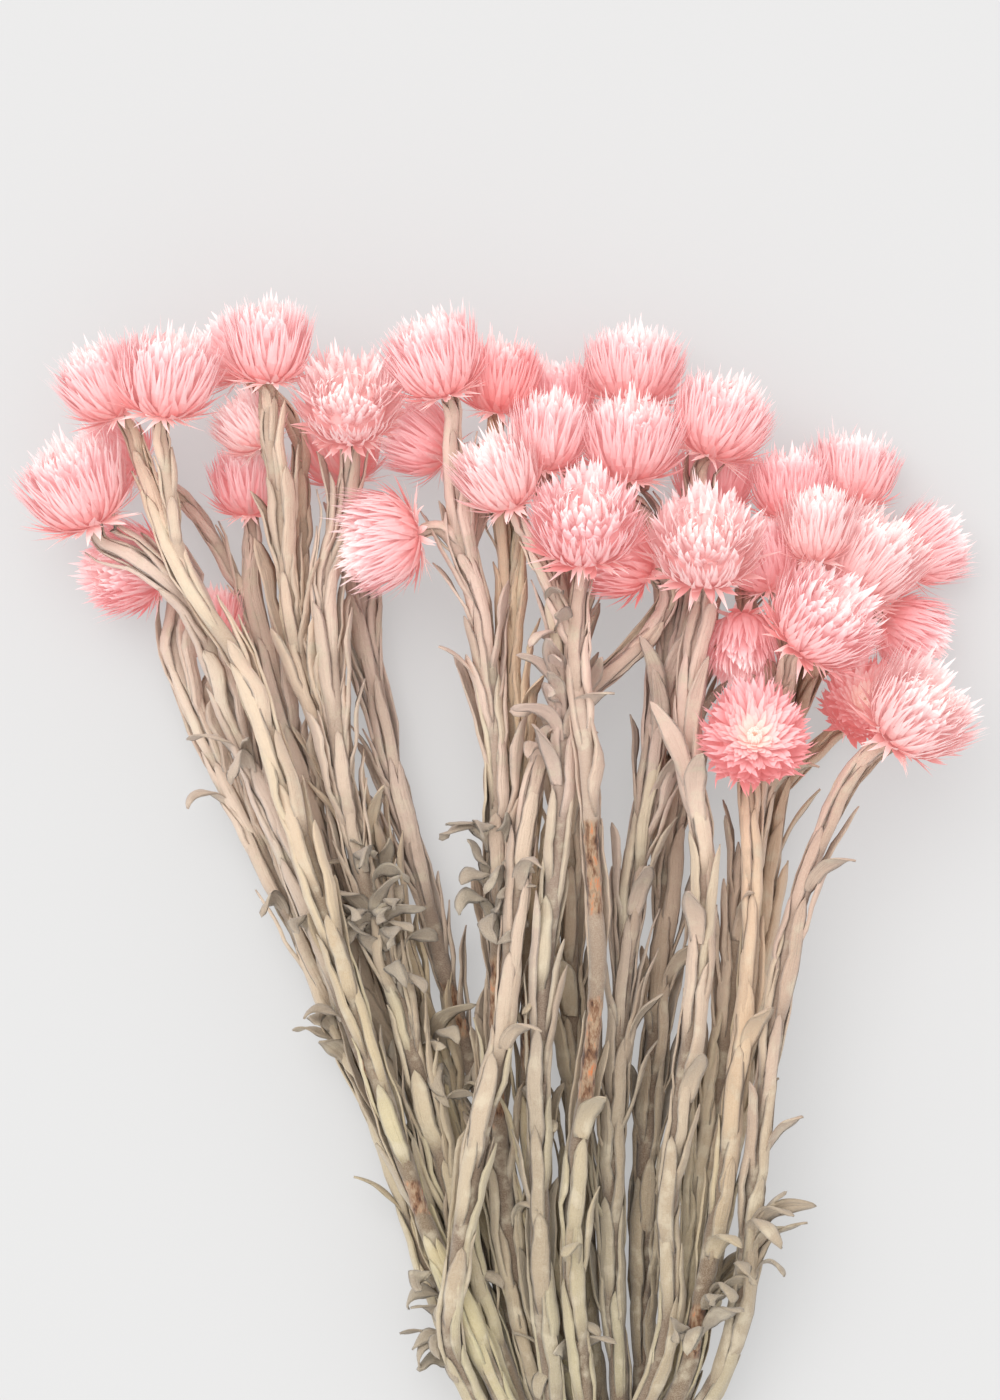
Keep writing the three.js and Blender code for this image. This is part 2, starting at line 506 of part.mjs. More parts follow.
Object.entries(STEMS).forEach(([name, stem], index) => {
  const path = mainPaths[name];
  const tieAt = TIE_Y - path.samples[0].y;
  const draw = makeDraw(index + 300);
  const lumps = Array.from({ length: 60 }, () => 0.92 + draw() * 0.16);
  const radiusAt = (s, i) => {
    if (Math.abs(s - tieAt) < 14) return STEM_TIE_RADIUS;
    if (s < tieAt) return STEM_TIE_RADIUS * 0.94;
    const away = s - tieAt;
    const rest = path.total - s;
    if (away < 45) return STEM_TIE_RADIUS + ((STEM_LOW_RADIUS - STEM_TIE_RADIUS) * (away - 14)) / 31;
    const body = STEM_LOW_RADIUS + ((STEM_TOP_RADIUS - STEM_LOW_RADIUS) * (away - 45)) / (path.total - tieAt - 45);
    const neck = Math.min(1, rest / 40);
    return (NECK_RADIUS + (body - NECK_RADIUS) * neck) * (rest < 12 ? 1 : lumps[i % 60]);
  };
  const side = new THREE.Vector3(1, 0, 0);
  const rule = leafRuleFor(name, path, index + 500, radiusAt, tieAt + BARE_LENGTH);
  let solid = toSolid(leafyTube(path, radiusAt, side, rule, RING_SPACING));
  stem.branches.forEach((branch, b) => {
    const branchRadius = (s) => (s > branch.path.total - 8 ? NECK_RADIUS * 0.95 : BRANCH_RADIUS);
    const branchRule = leafRuleFor(name, branch.path, index * 7 + b + 700, branchRadius, 14);
    const tube = toSolid(leafyTube(branch.path, branchRadius, new THREE.Vector3(0, 0, 1), branchRule, 12));
    solid = solid.add(tube);
  });
  addPiece(name, solidGeometry(solid), STEM_TONES[index % 4], 0.95);
});

Object.entries(HEADS).forEach(([name, head]) => {
  addPiece(name, shellGeometry(flowerHead(name, head)), HEAD_TONES[head.tone], 0.8);
});

// Rubber band, wound three times round the stems as one flat oval ring
function rubberTie() {
  const halfWidth = 3 * STEM_PITCH + STEM_TIE_RADIUS + 0.35;
  const low = LOW_ROW_Z - STEM_TIE_RADIUS - 0.45;
  const high = LOW_ROW_Z + 2 * ROW_PITCH + STEM_TIE_RADIUS + 0.35;
  const corner = 4.6;
  const middleZ = (low + high) / 2;
  const halfHeight = (high - low) / 2;
  const outline = [];
  const quarters = [[1, -1, -90], [1, 1, 0], [-1, 1, 90], [-1, -1, 180]];
  for (const [sx, sz, start] of quarters) {
    for (const step of [0, 30, 60, 90]) {
      const a = ((start + step) * Math.PI) / 180;
      outline.push({
        x: TIE_X + sx * (halfWidth - corner) + Math.cos(a) * corner,
        z: middleZ + sz * (halfHeight - corner) + Math.sin(a) * corner,
        outX: Math.cos(a),
        outZ: Math.sin(a),
      });
    }
  }
  const half = TIE_BAND / 2;
  const turnAt = TIE_BAND / 6;
  const profile = [
    [-half, 0], [-half, 1.4], [-turnAt - 0.3, TIE_THICK], [-turnAt, 1.3], [-turnAt + 0.3, TIE_THICK],
    [turnAt - 0.3, TIE_THICK], [turnAt, 1.3], [turnAt + 0.3, TIE_THICK], [half, 1.4], [half, 0],
  ];
  const positions = [];
  const faces = [];
  for (const o of outline) {
    for (const [y, out] of profile) {
      positions.push(new THREE.Vector3(o.x + o.outX * out, TIE_Y + y, o.z + o.outZ * out));
    }
  }
  const m = profile.length;
  const total = outline.length;
  for (let i = 0; i < total; i++) {
    for (let k = 0; k < m; k++) {
      const a = i * m + k;
      const b = i * m + ((k + 1) % m);
      const c = ((i + 1) % total) * m + ((k + 1) % m);
      const d = ((i + 1) % total) * m + k;
      faces.push([a, b, c], [a, c, d]);
    }
  }
  return { positions, faces };
}
addPiece('rubber_tie', shellGeometry(rubberTie()), '#c9a36a', 0.75);

// Origin at the middle of the underside of the whole bunch
const box = new THREE.Box3();
for (const mesh of pieces) {
  mesh.geometry.computeBoundingBox();
  box.union(mesh.geometry.boundingBox);
}
const middle = box.getCenter(new THREE.Vector3());
group.position.set(-middle.x, -middle.y, -box.min.z);

export default group;
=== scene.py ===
"""Dried silver daisy bunch, lying on its back and seen from above."""

import math

import bpy
import numpy as np
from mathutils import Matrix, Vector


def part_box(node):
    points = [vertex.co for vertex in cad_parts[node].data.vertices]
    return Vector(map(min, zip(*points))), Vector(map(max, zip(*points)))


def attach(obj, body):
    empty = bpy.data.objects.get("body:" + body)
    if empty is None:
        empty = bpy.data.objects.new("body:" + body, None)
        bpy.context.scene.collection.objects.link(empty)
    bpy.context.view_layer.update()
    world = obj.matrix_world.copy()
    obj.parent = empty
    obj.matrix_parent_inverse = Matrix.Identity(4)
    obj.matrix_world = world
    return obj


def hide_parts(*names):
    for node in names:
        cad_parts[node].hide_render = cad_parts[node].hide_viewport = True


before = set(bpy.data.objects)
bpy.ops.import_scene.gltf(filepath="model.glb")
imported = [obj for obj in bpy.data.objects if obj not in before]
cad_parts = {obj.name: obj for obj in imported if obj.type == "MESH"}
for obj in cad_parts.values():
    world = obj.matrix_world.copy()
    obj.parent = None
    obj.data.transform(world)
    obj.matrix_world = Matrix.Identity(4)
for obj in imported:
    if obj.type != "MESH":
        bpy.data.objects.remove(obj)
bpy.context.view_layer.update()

MM = 0.001

# Layout of the bunch in millimetres, the same as the solids
TIE_Y = -205.0
TIE_X = 35.0
TIE_BAND = 9.0
STEM_PITCH = 8.6
ROW_PITCH = 7.45
LOW_ROW_Z = 6.6
STEM_TIE_RADIUS = 4.2
STEM_LOW_RADIUS = 4.8
STEM_TOP_RADIUS = 3.9
NECK_RADIUS = 2.4
BRANCH_RADIUS = 2.9
CUT_END_Y = -246.0
CUT_END_VARIES = 12
CUT_END_FAN = 1.07
NECK_LENGTH = 8.0
JOINT_GAP = 0.35
TIE_LOW_Z = 0.15

# Leaves and bracts stay above the gap: below the soft height, in metres, they are eased up
FLOOR_GAP = 0.0003
FLOOR_SOFT = 0.0014

# The photograph: its frame, the pixel at the layout's origin, and millimetres a pixel
PHOTO_WIDTH = 1000
PHOTO_HEIGHT = 1400
ORIGIN_PIXEL = (492, 968)
PIXEL = 0.38
VIEW_X = (PHOTO_WIDTH / 2 - ORIGIN_PIXEL[0]) * PIXEL
VIEW_Y = (ORIGIN_PIXEL[1] - PHOTO_HEIGHT / 2) * PIXEL
VIEW_HEIGHT = PHOTO_HEIGHT * PIXEL
CAMERA_DISTANCE = 1800.0
FOCUS_Z = 45.0

# Heads: foot, axis, widest radius, height, tone (0 palest to 3 coral)
HEADS = {
    1: ((-152, 169, 40), (-0.38, 0.88, 0.28), 19.5, 31, 1),
    2: ((-136, 190, 12.88), (-0.85, 0.5, 0.1), 15.5, 26, 2),
    3: ((-141, 210, 44), (-0.47, 0.85, 0.2), 16, 28, 1),
    4: ((-124, 209, 59), (0.15, 0.95, 0.25), 18.5, 30, 1),
    5: ((-129, 152, 15), (-0.85, 0.05, 0.5), 17, 27, 2),
    6: ((-107, 121, 13), (-0.05, 0.99, 0), 11.8, 23, 3),
    7: ((-94, 227, 23), (-0.6, 0.8, 0), 15, 23, 1),
    8: ((-84, 222, 56), (0, 0.97, 0.25), 15.5, 29, 1),
    9: ((-87, 198, 38), (-0.55, 0.83, 0), 13, 21, 0),
    10: ((-93, 173, 16), (-0.05, 0.98, 0.15), 14.5, 25, 2),
    11: ((-54, 206, 48), (0, 0.65, 0.75), 19, 25, 0),
    12: ((-56, 185, 16), (-0.2, 0.97, 0.05), 15.5, 27, 3),
    13: ((-28, 165, 52), (-0.95, -0.2, 0.15), 19, 28, 1),
    14: ((-17, 217, 60), (-0.3, 0.9, 0.25), 17.5, 29, 1),
    15: ((-16, 195, 35), (-0.85, 0.5, 0), 14.5, 26, 2),
    16: ((2, 211, 42), (0.1, 0.97, 0.15), 14.5, 27, 3),
    17: ((8, 175, 63), (-0.4, 0.85, 0.3), 15.2, 27, 0),
    18: ((27, 205, 18), (-0.15, 0.97, 0.1), 15.5, 26, 2),
    19: ((20, 189, 51), (0.1, 0.95, 0.2), 14.7, 28, 1),
    20: ((53, 215, 27), (0.1, 0.97, 0.1), 18.5, 28, 1),
    21: ((52, 186, 46), (0.05, 0.95, 0.25), 19, 30, 1),
    22: ((82, 195, 42), (0.35, 0.9, 0.2), 18.5, 29, 1),
    23: ((84, 174, 20), (0.1, 0.97, 0.05), 15.5, 25, 2),
    24: ((35, 158, 66), (0, 0.75, 0.65), 20.5, 27, 1),
    25: ((59, 151, 45), (-0.85, 0.35, 0.35), 15.5, 25, 3),
    26: ((80, 151, 60), (0, 0.7, 0.7), 20.5, 27, 0),
    27: ((107, 144, 40), (-0.3, 0.93, 0.15), 15, 26, 2),
    28: ((96, 133, 37), (-0.06, -0.85, 0.5), 13.5, 25, 2),
    29: ((114, 171, 33), (0, 0.97, 0.1), 15, 25, 2),
    30: ((137, 176, 17), (0.15, 0.97, 0.05), 16.5, 27, 1),
    31: ((122, 155, 51), (0.05, 0.95, 0.3), 13.5, 26, 0),
    32: ((136, 144, 33), (0.55, 0.75, 0.3), 19, 31, 0),
    33: ((157.5, 154.5, 15.46), (0.85, 0.5, 0), 15.6, 26, 1),
    34: ((117, 123, 60), (0.55, 0.65, 0.5), 21, 27, 1),
    35: ((151, 134, 17), (0.83, -0.5, 0.1), 15, 25, 2),
    36: ((142, 98, 12), (0.1, 0.35, 0.93), 17.5, 20, 3),
    37: ((152, 89, 53), (0.61, 0.61, 0.51), 20, 28, 0),
    38: ((99, 85, 48), (0, 0.3, 0.95), 20.8, 22, 2),
}
OPEN_HEADS = (36, 38)

# Stems: row and place in the tie, head, route, then side branches (head, route)
STEMS = {
    1: (0, 0, 5, [
        (-8, -164, 8), (-23, -122, 10), (-35, -84, 12), (-48, -50, 13), (-60, -24, 14), (-72, 5, 15),
        (-84, 32, 16), (-94, 52, 17), (-105, 75, 18), (-115, 98, 19), (-122, 118, 19), (-122, 136, 13)],
        [(6, [(-99, 62, 17), (-108, 90, 14), (-110, 106, 13)])]),
    2: (0, 1, 10, [
        (3, -164, 8), (-10, -122, 10), (-21, -84, 12), (-33, -46, 13), (-46, -12, 14), (-56, 18, 15),
        (-65, 45, 16), (-73, 71, 17), (-81, 98, 17), (-87, 121, 16), (-92, 140, 15), (-93, 159, 15)],
        [(2, [(-89, 128, 16), (-100, 150, 14), (-110, 168, 12.5), (-120, 180, 11.5)])]),
    3: (0, 2, 8, [
        (14, -164, 8), (3, -122, 10), (-7, -84, 12), (-17, -46, 14), (-28, -12, 16), (-39, 20, 18),
        (-49, 49, 21), (-60, 75, 24), (-70, 102, 28), (-76, 128, 33), (-79, 155, 38), (-81, 182, 45),
        (-84, 203, 52)],
        [(9, [(-80, 162, 40), (-81, 178, 38)]),
         (7, [(-76, 128, 33), (-73, 152, 30), (-73, 182, 27), (-75, 204, 25), (-83, 217, 23)])]),
    4: (0, 3, 12, [
        (24, -164, 8), (14, -122, 10), (5, -84, 12), (-6, -46, 13), (-16, -12, 14), (-25, 22, 14),
        (-33, 52, 14), (-40, 83, 14), (-46, 113, 14), (-50, 140, 13), (-53, 163, 13)],
        []),
    5: (0, 4, 18, [
        (40, -164, 8), (36, -122, 9), (33, -84, 10), (32, -43, 10), (30, -1, 11), (30, 41, 12),
        (28, 79, 13), (28, 117, 14), (31, 147, 15), (33, 174, 16), (30, 193, 17)],
        [(20, [(30, 142, 15), (36, 162, 18), (45, 182, 22), (52, 203, 26)])]),
    6: (0, 5, 22, [
        (58, -164, 8), (58, -122, 9), (59, -84, 10), (62, -43, 11), (65, -1, 12), (69, 41, 14),
        (73, 79, 17), (77, 113, 23), (80, 144, 32), (80, 172, 40)],
        [(29, [(76, 105, 21), (86, 120, 17), (95, 134, 14), (106, 148, 16), (112, 157, 23)])]),
    7: (0, 6, 32, [
        (75, -164, 8), (84, -122, 9), (90, -84, 10), (97, -43, 11), (102, -1, 13), (106, 33, 14),
        (109, 64, 15), (115, 90, 18), (123, 115, 24), (131, 134, 30)],
        [(30, [(122, 112, 23), (128, 130, 17), (132, 148, 16), (135, 164, 17)]),
         (33, [(119, 103, 21), (129, 118, 17), (138, 136, 15), (147, 149, 14)]),
         (35, [(126, 114, 18), (136, 128, 17), (143, 136, 17)]),
         (36, [(109, 64, 15), (120, 77, 11), (131, 87, 6), (138, 93, 5)])]),
    8: (1, 0, 1, [
        (-3, -168, 17), (-17, -126, 22), (-28, -90, 25), (-43, -52, 28), (-56, -16, 31), (-68, 18, 33),
        (-79, 45, 34), (-89, 70, 35), (-99, 96, 36), (-109, 125, 37), (-121, 144, 41), (-136, 156, 42)],
        []),
    9: (1, 1, 11, [
        (8, -164, 17), (-6, -122, 22), (-16, -88, 26), (-26, -50, 29), (-36, -12, 31), (-46, 22, 33),
        (-54, 52, 34), (-59, 87, 35), (-62, 121, 36), (-63, 149, 37), (-56, 172, 38), (-54, 194, 42)],
        []),
    10: (1, 2, 14, [
        (18, -164, 17), (9, -122, 22), (4, -81, 26), (2, -43, 29), (2, -1, 32), (2, 37, 36),
        (2, 75, 40), (-1, 109, 43), (-5, 140, 46), (-11, 161, 49), (-14, 182, 52), (-15, 203, 57)],
        [(13, [(-5, 136, 45), (-9, 152, 49)]),
         (15, [(-9, 155, 47), (-5, 171, 42), (-3, 183, 37)])]),
    11: (1, 3, 16, [
        (32, -164, 17), (23, -122, 21), (17, -81, 25), (14, -39, 28), (14, 3, 30), (12, 41, 32),
        (9, 79, 34), (6, 117, 36), (6, 151, 37), (4, 182, 38), (2, 200, 40)],
        []),
    12: (1, 4, 21, [
        (49, -164, 17), (46, -122, 21), (46, -81, 25), (48, -39, 28), (51, 3, 31), (56, 45, 33),
        (62, 83, 34), (67, 117, 34), (68, 140, 34), (66, 160, 36), (56, 176, 41)],
        [(23, [(68, 128, 34), (74, 149, 26), (81, 163, 20)])]),
    13: (1, 5, 34, [
        (68, -164, 17), (76, -122, 21), (81, -81, 25), (88, -39, 28), (93, 3, 30), (98, 37, 31),
        (103, 64, 32), (108, 85, 35), (110, 102, 43), (112, 115, 54)],
        [(27, [(109, 92, 39), (112, 108, 40), (112, 124, 39)]),
         (28, [(109, 90, 38), (107, 104, 31), (104, 120, 23), (100, 134, 20.5), (97.5, 141.6, 23),
               (96.8, 143, 28.4)]),
         (31, [(112, 112, 40), (116, 128, 42), (120, 145, 46)])]),
    14: (2, 0, 25, [
        (-10, -160, 31), (-16, -138, 40), (-12, -105, 47), (-6, -71, 48), (3, -29, 48), (9, 20, 48),
        (14, 62, 45), (26, 94, 41), (46, 114, 41), (60, 127, 41), (67, 139, 41)],
        []),
    15: (2, 1, 3, [
        (1, -160, 28), (-9, -134, 32), (-22, -107, 35), (-35, -69, 40), (-49, -24, 44), (-62, 18, 49),
        (-73, 52, 51), (-84, 87, 52), (-97, 119, 52), (-115, 146, 51), (-128, 176, 46),
        (-136, 199, 43)],
        [(4, [(-118, 152, 50), (-121, 175, 54), (-124, 196, 57)])]),
    16: (2, 2, 19, [
        (23, -160, 28), (19, -126, 33), (18, -81, 38), (18, -31, 43), (21, 11, 48), (25, 45, 51),
        (27, 79, 53), (27, 113, 54), (24, 144, 54), (20, 172, 50)],
        []),
    17: (2, 3, 24, [
        (35, -160, 28), (31, -126, 33), (32, -81, 39), (37, -37, 45), (40, -1, 50), (38, 41, 55),
        (36, 79, 59), (32, 113, 62), (33, 140, 61)],
        [(17, [(31, 118, 62), (23, 142, 62), (14, 162, 60)])]),
    18: (2, 4, 26, [
        (62, -160, 29), (68, -132, 34), (67, -92, 40), (73, -43, 46), (79, 7, 51), (80, 45, 52),
        (74, 84, 50), (76, 119, 51), (80, 140, 51)],
        []),
    19: (2, 5, 38, [
        (73, -160, 29), (79, -132, 34), (87, -88, 38), (93, -43, 42), (98, 3, 45), (99, 41, 44),
        (98, 62, 40), (99, 75, 38)],
        []),
    20: (2, 6, 37, [
        (86, -160, 28), (95, -130, 33), (99, -92, 38), (105, -43, 43), (111, -1, 46), (118, 30, 48),
        (127, 54, 49), (135, 71, 49), (144, 82, 50)],
        []),
}

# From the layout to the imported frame, found at the tie
tie_low, tie_high = (np.array([c[0], c[1], c[2]]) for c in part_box("rubber_tie"))
SHIFT = np.array([
    (tie_low[0] + tie_high[0]) / 2 - TIE_X * MM,
    (tie_low[1] + tie_high[1]) / 2 - TIE_Y * MM,
    tie_low[2] - TIE_LOW_Z * MM,
])


def linear(r, g, b):
    """Screen colour 0 to 255 as a scene-linear colour."""
    out = []
    for c in (r, g, b):
        c = c / 255
        out.append(c / 12.92 if c <= 0.04045 else ((c + 0.055) / 1.055) ** 2.4)
    return (*out, 1.0)


def unit(v):
    v = np.asarray(v, float)
    return v / np.linalg.norm(v, axis=-1, keepdims=True)


def circle(theta, side, up):
    """Directions at these angles, turning from side towards up."""
    return np.cos(theta)[..., None] * side + np.sin(theta)[..., None] * up


def section(centre, wide, face, x, y):
    """Cross-sections round each centre, x along wide and y along face."""
    return centre[..., None, :] + x[..., None] * wide[..., None, :] + y[..., None] * face[..., None, :]


def channels(verts, *values):
    """The four numbers that a material reads at each vertex."""
    return np.stack([np.broadcast_to(value, verts.shape[:-1]) for value in values], axis=-1)


def add_object(name, data):
    made = bpy.data.objects.new(name, data)
    bpy.context.scene.collection.objects.link(made)
    return made


class Patchwork:
    """Collects the vertices, faces and material channels of one piece."""

    def __init__(self):
        self.verts = []
        self.quads = []
        self.tris = []
        self.info = []
        self.marks = []
        self.count = 0

    def add(self, verts, quads, tris, info, marks=0.0):
        """marks is one number, or one for each vertex."""
        verts = np.asarray(verts, float).reshape(-1, 3)
        self.verts.append(verts)
        self.quads.append(quads.reshape(-1, 4) + self.count)
        self.tris.append(tris.reshape(-1, 3) + self.count)
        self.info.append(np.asarray(info, float).reshape(-1, 4))
        self.marks.append(np.broadcast_to(np.ravel(marks), len(verts)).astype(float))
        self.count += len(verts)

    def rings(self, points, info, marks=0.0):
        """Closed strands: points is (strand, row, ring, 3), capped at both ends."""
        n, rows, ring, _ = points.shape
        base = (np.arange(n) * rows * ring)[:, None, None]
        row = (np.arange(rows - 1) * ring)[None, :, None]
        k = np.arange(ring)[None, None, :]
        a = base + row + k
        b = base + row + (k + 1) % ring
        quads = np.stack([a, b, b + ring, a + ring], axis=-1)
        first = base[:, 0, 0]
        last = first + (rows - 1) * ring
        tris = []
        for s in range(1, ring - 1):
            tris.append(np.stack([first, first + s + 1, first + s], axis=-1))
            tris.append(np.stack([last, last + s, last + s + 1], axis=-1))
        self.add(points, quads, np.concatenate(tris), info, marks)

    def build(self, name, material, keep_up=True, flat=False):
        verts = np.concatenate(self.verts) * MM + SHIFT
        if keep_up:
            low = verts[:, 2] < FLOOR_SOFT
            room = FLOOR_SOFT - FLOOR_GAP
            verts[low, 2] = FLOOR_GAP + room * np.exp((verts[low, 2] - FLOOR_SOFT) / room)
        quads = np.concatenate(self.quads)
        tris = np.concatenate(self.tris)
        mesh = bpy.data.meshes.new(name)
        mesh.vertices.add(len(verts))
        mesh.vertices.foreach_set("co", verts.ravel())
        loops = np.concatenate([quads.ravel(), tris.ravel()])
        mesh.loops.add(len(loops))
        mesh.loops.foreach_set("vertex_index", loops.astype(np.int32))
        sizes = np.concatenate([np.full(len(quads), 4), np.full(len(tris), 3)])
        starts = np.concatenate([[0], np.cumsum(sizes)[:-1]])
        mesh.polygons.add(len(sizes))
        mesh.polygons.foreach_set("loop_start", starts.astype(np.int32))
        mesh.polygons.foreach_set("use_smooth", np.full(len(sizes), not flat))
        mesh.update(calc_edges=True)
        info = mesh.attributes.new("info", "FLOAT_COLOR", "POINT")
        info.data.foreach_set("color", np.concatenate(self.info).ravel())
        marks = mesh.attributes.new("mark", "FLOAT", "POINT")
        marks.data.foreach_set("value", np.concatenate(self.marks))
        mesh.validate()
        mesh.materials.append(material)
        return add_object(name, mesh)


# Materials

def settings(made, **sockets):
    """Set a node's sockets by name, with _ for a space, and give the node back."""
    for key, value in sockets.items():
        made.inputs[key.replace("_", " ")].default_value = value
    return made


class Finish:
    """One procedural material: its nodes, and the colour that is built up in layers."""

    def __init__(self, name):
        self.material = bpy.data.materials.new(name)
        self.material.use_nodes = True
        self.tree = self.material.node_tree
        self.tree.nodes.clear()
        out = self.node("ShaderNodeOutputMaterial")
        self.shader = self.node("ShaderNodeBsdfPrincipled")
        self.link(self.shader.outputs["BSDF"], out.inputs["Surface"])
        self.place = self.node("ShaderNodeTexCoord").outputs["Object"]
        self.colour = None

    def node(self, kind, **sockets):
        return settings(self.tree.nodes.new(kind), **sockets)

    def link(self, output, socket):
        self.tree.links.new(output, socket)

    def feed(self, value, socket):
        """Link a node's output to a socket, or set a plain value there."""
        if hasattr(value, "is_linked"):
            self.link(value, socket)
        else:
            socket.default_value = value

    def channels(self):
        """What the meshes store: along, draw, height or layer, across, and the mark."""
        info = self.node("ShaderNodeAttribute")
        info.attribute_name = "info"
        split = self.node("ShaderNodeSeparateColor")
        self.link(info.outputs["Color"], split.inputs["Color"])
        mark = self.node("ShaderNodeAttribute")
        mark.attribute_name = "mark"
        red, green, blue = (split.outputs[name] for name in ("Red", "Green", "Blue"))
        return red, green, blue, info.outputs["Alpha"], mark.outputs["Fac"]

    def ramp(self, source, stops):
        made = self.node("ShaderNodeValToRGB")
        elements = made.color_ramp.elements
        while len(elements) < len(stops):
            elements.new(0.5)
        for element, (position, colour) in zip(elements, stops):
            element.position = position
            element.color = linear(*colour)
        self.link(source, made.inputs["Fac"])
        return made.outputs["Color"]

    def tint(self, factor, colour, mode="MIX"):
        """Lay a screen colour, or a node's colour, over the colour so far."""
        made = self.node("ShaderNodeMix")
        made.data_type = "RGBA"
        made.blend_type = mode
        if isinstance(colour, tuple):
            colour = linear(*colour)
        self.feed(factor, made.inputs[0])
        self.feed(self.colour, made.inputs[6])
        self.feed(colour, made.inputs[7])
        self.colour = made.outputs[2]

    def maths(self, operation, first, second):
        made = self.node("ShaderNodeMath")
        made.operation = operation
        self.feed(first, made.inputs[0])
        self.feed(second, made.inputs[1])
        return made.outputs[0]

    def times(self, first, second):
        return self.maths("MULTIPLY", first, second)

    def plus(self, first, second):
        return self.maths("ADD", first, second)

    def smooth(self, source, low, high, to_low=0.0, to_high=1.0):
        made = self.node("ShaderNodeMapRange")
        made.interpolation_type = "SMOOTHSTEP"
        settings(made, From_Min=low, From_Max=high, To_Min=to_low, To_Max=to_high)
        self.link(source, made.inputs["Value"])
        return made.outputs["Result"]

    def noise(self, scale, detail=3.0, roughness=0.55, vector=None):
        made = self.node("ShaderNodeTexNoise", Scale=scale, Detail=detail, Roughness=roughness)
        self.link(self.place if vector is None else vector, made.inputs["Vector"])
        return made.outputs["Fac"]

    def blade_space(self, across, along, draw, scales):
        """A space that runs with one blade, and far from its neighbours' by its draw."""
        space = self.node("ShaderNodeCombineXYZ")
        for value, scale, axis in zip((across, along, draw), scales, "XYZ"):
            self.link(self.times(value, scale), space.inputs[axis])
        return space.outputs["Vector"]

    def bump(self, height, strength, distance):
        made = self.node("ShaderNodeBump", Strength=strength, Distance=distance)
        self.link(height, made.inputs["Height"])
        self.link(made.outputs["Normal"], self.shader.inputs["Normal"])

    def close(self, **sockets):
        """Give the shader its colour and its plain settings."""
        self.link(self.colour, self.shader.inputs["Base Color"])
        settings(self.shader, **sockets)
        return self.material


# Petals: screen red, then green and blue for each tone, from the foot of the bowl to the tips
PETAL_STOPS = (0.1, 0.4, 0.8, 0.98)
PETAL_REDS = (228, 235, 238, 246)
PETAL_TONES = {
    "petals_near_white": ((162, 157), (192, 190), (211, 211), (238, 237)),
    "petals_pale_pink": ((148, 144), (180, 180), (200, 202), (233, 233)),
    "petals_pink": ((134, 130), (166, 168), (188, 191), (226, 227)),
    "petals_coral": ((122, 117), (152, 150), (176, 177), (218, 218)),
}
CROWN_WHITE = (252, 238, 234)
DISC_CREAM = (252, 244, 232)
PAPER_WHITE = (255, 244, 240)
EYE_BROWN = (190, 142, 92)
# Painted glow: emission that stands in for light passing through the thin bracts
PAINTED_PETAL_GLOW = (1.0, 0.56, 0.55, 1)


def petal_material(name):
    petal = Finish(name)
    along, draw, layer, across, papery = petal.channels()
    colours = [(red, *rest) for red, rest in zip(PETAL_REDS, PETAL_TONES[name])]
    petal.colour = petal.ramp(along, list(zip(PETAL_STOPS, colours)))
    petal.tint(petal.smooth(layer, 0.6, 1.0, 0.0, 0.55), CROWN_WHITE)
    petal.tint(petal.times(petal.smooth(layer, 0.93, 0.99), 0.6), DISC_CREAM)
    lift = petal.plus(petal.smooth(draw, 0.0, 1.0, 0.0, 0.12), petal.smooth(draw, 0.8, 0.98, 0.0, 0.4))
    petal.tint(petal.times(lift, petal.smooth(along, 0.25, 0.85, 0.25, 1.0)), colours[3])
    petal.tint(petal.times(papery, 0.75), PAPER_WHITE)
    petal.tint(petal.smooth(papery, -0.5, -0.9, 0.0, 0.7), EYE_BROWN)
    veins = petal.noise(1.0, 2.0, 0.5, petal.blade_space(across, along, draw, (9.0, 1.4, 61.0)))
    petal.tint(petal.smooth(veins, 0.35, 0.7, 0.0, 0.12), colours[1], "MULTIPLY")
    petal.bump(veins, 0.25, 0.0001)
    # The emission is a painted glow, for light that would shine through the thin bracts
    return petal.close(Roughness=0.6, Specular_IOR_Level=0.25, Sheen_Weight=0.12, Sheen_Roughness=0.4,
                       Emission_Color=PAINTED_PETAL_GLOW, Emission_Strength=0.14)


PETALS = [(name, petal_material(name)) for name in PETAL_TONES]

# Felted stems: screen colours at the foot, the middle and the top, then what is laid over them
FELT_TONES = {
    "stem_cream": ((189, 180, 139), (206, 184, 157), (240, 206, 192)),
    "stem_taupe": ((180, 167, 133), (197, 174, 152), (238, 202, 190)),
    "stem_yellow_cream": ((191, 183, 135), (208, 184, 148), (244, 206, 178)),
    "stem_greige": ((171, 163, 131), (188, 167, 149), (230, 194, 184)),
}
# Brown of browned leaves, which also serves as painted shade on the lower rows
BROWN_LEAF_AND_DEPTH_SHADE = (165, 138, 115)
GREENISH = (202, 195, 154)
ROSY_RIGHT = (191, 157, 134)
DULL_RIGHT_FOOT = (158, 142, 116)
# Painted shade for the lower right stems that lie close to the floor
PAINTED_LOW_SHADE = (102, 80, 60)
LEFT_FOOT = (169, 154, 127)
LEFT_TOP = (217, 195, 177)
# Painted shade at the leaves' roots, where they meet the stem
PAINTED_ROOT_SHADE = (94, 67, 49)
WITHERED = (154, 140, 124)
BLOTCHED = (138, 110, 87)
BARE_FOOT = (142, 112, 86)
PALE_PATCH = (218, 207, 182)
PALE_NAP = (227, 218, 197)
BARK_STOPS = [(0.36, (72, 44, 29)), (0.45, (131, 94, 68)), (0.56, (167, 143, 117)), (0.7, (207, 116, 61))]
WOOD_STOPS = [(0.1, (150, 116, 80)), (0.24, (206, 184, 146)), (0.82, (190, 162, 120)), (0.96, (120, 92, 66))]


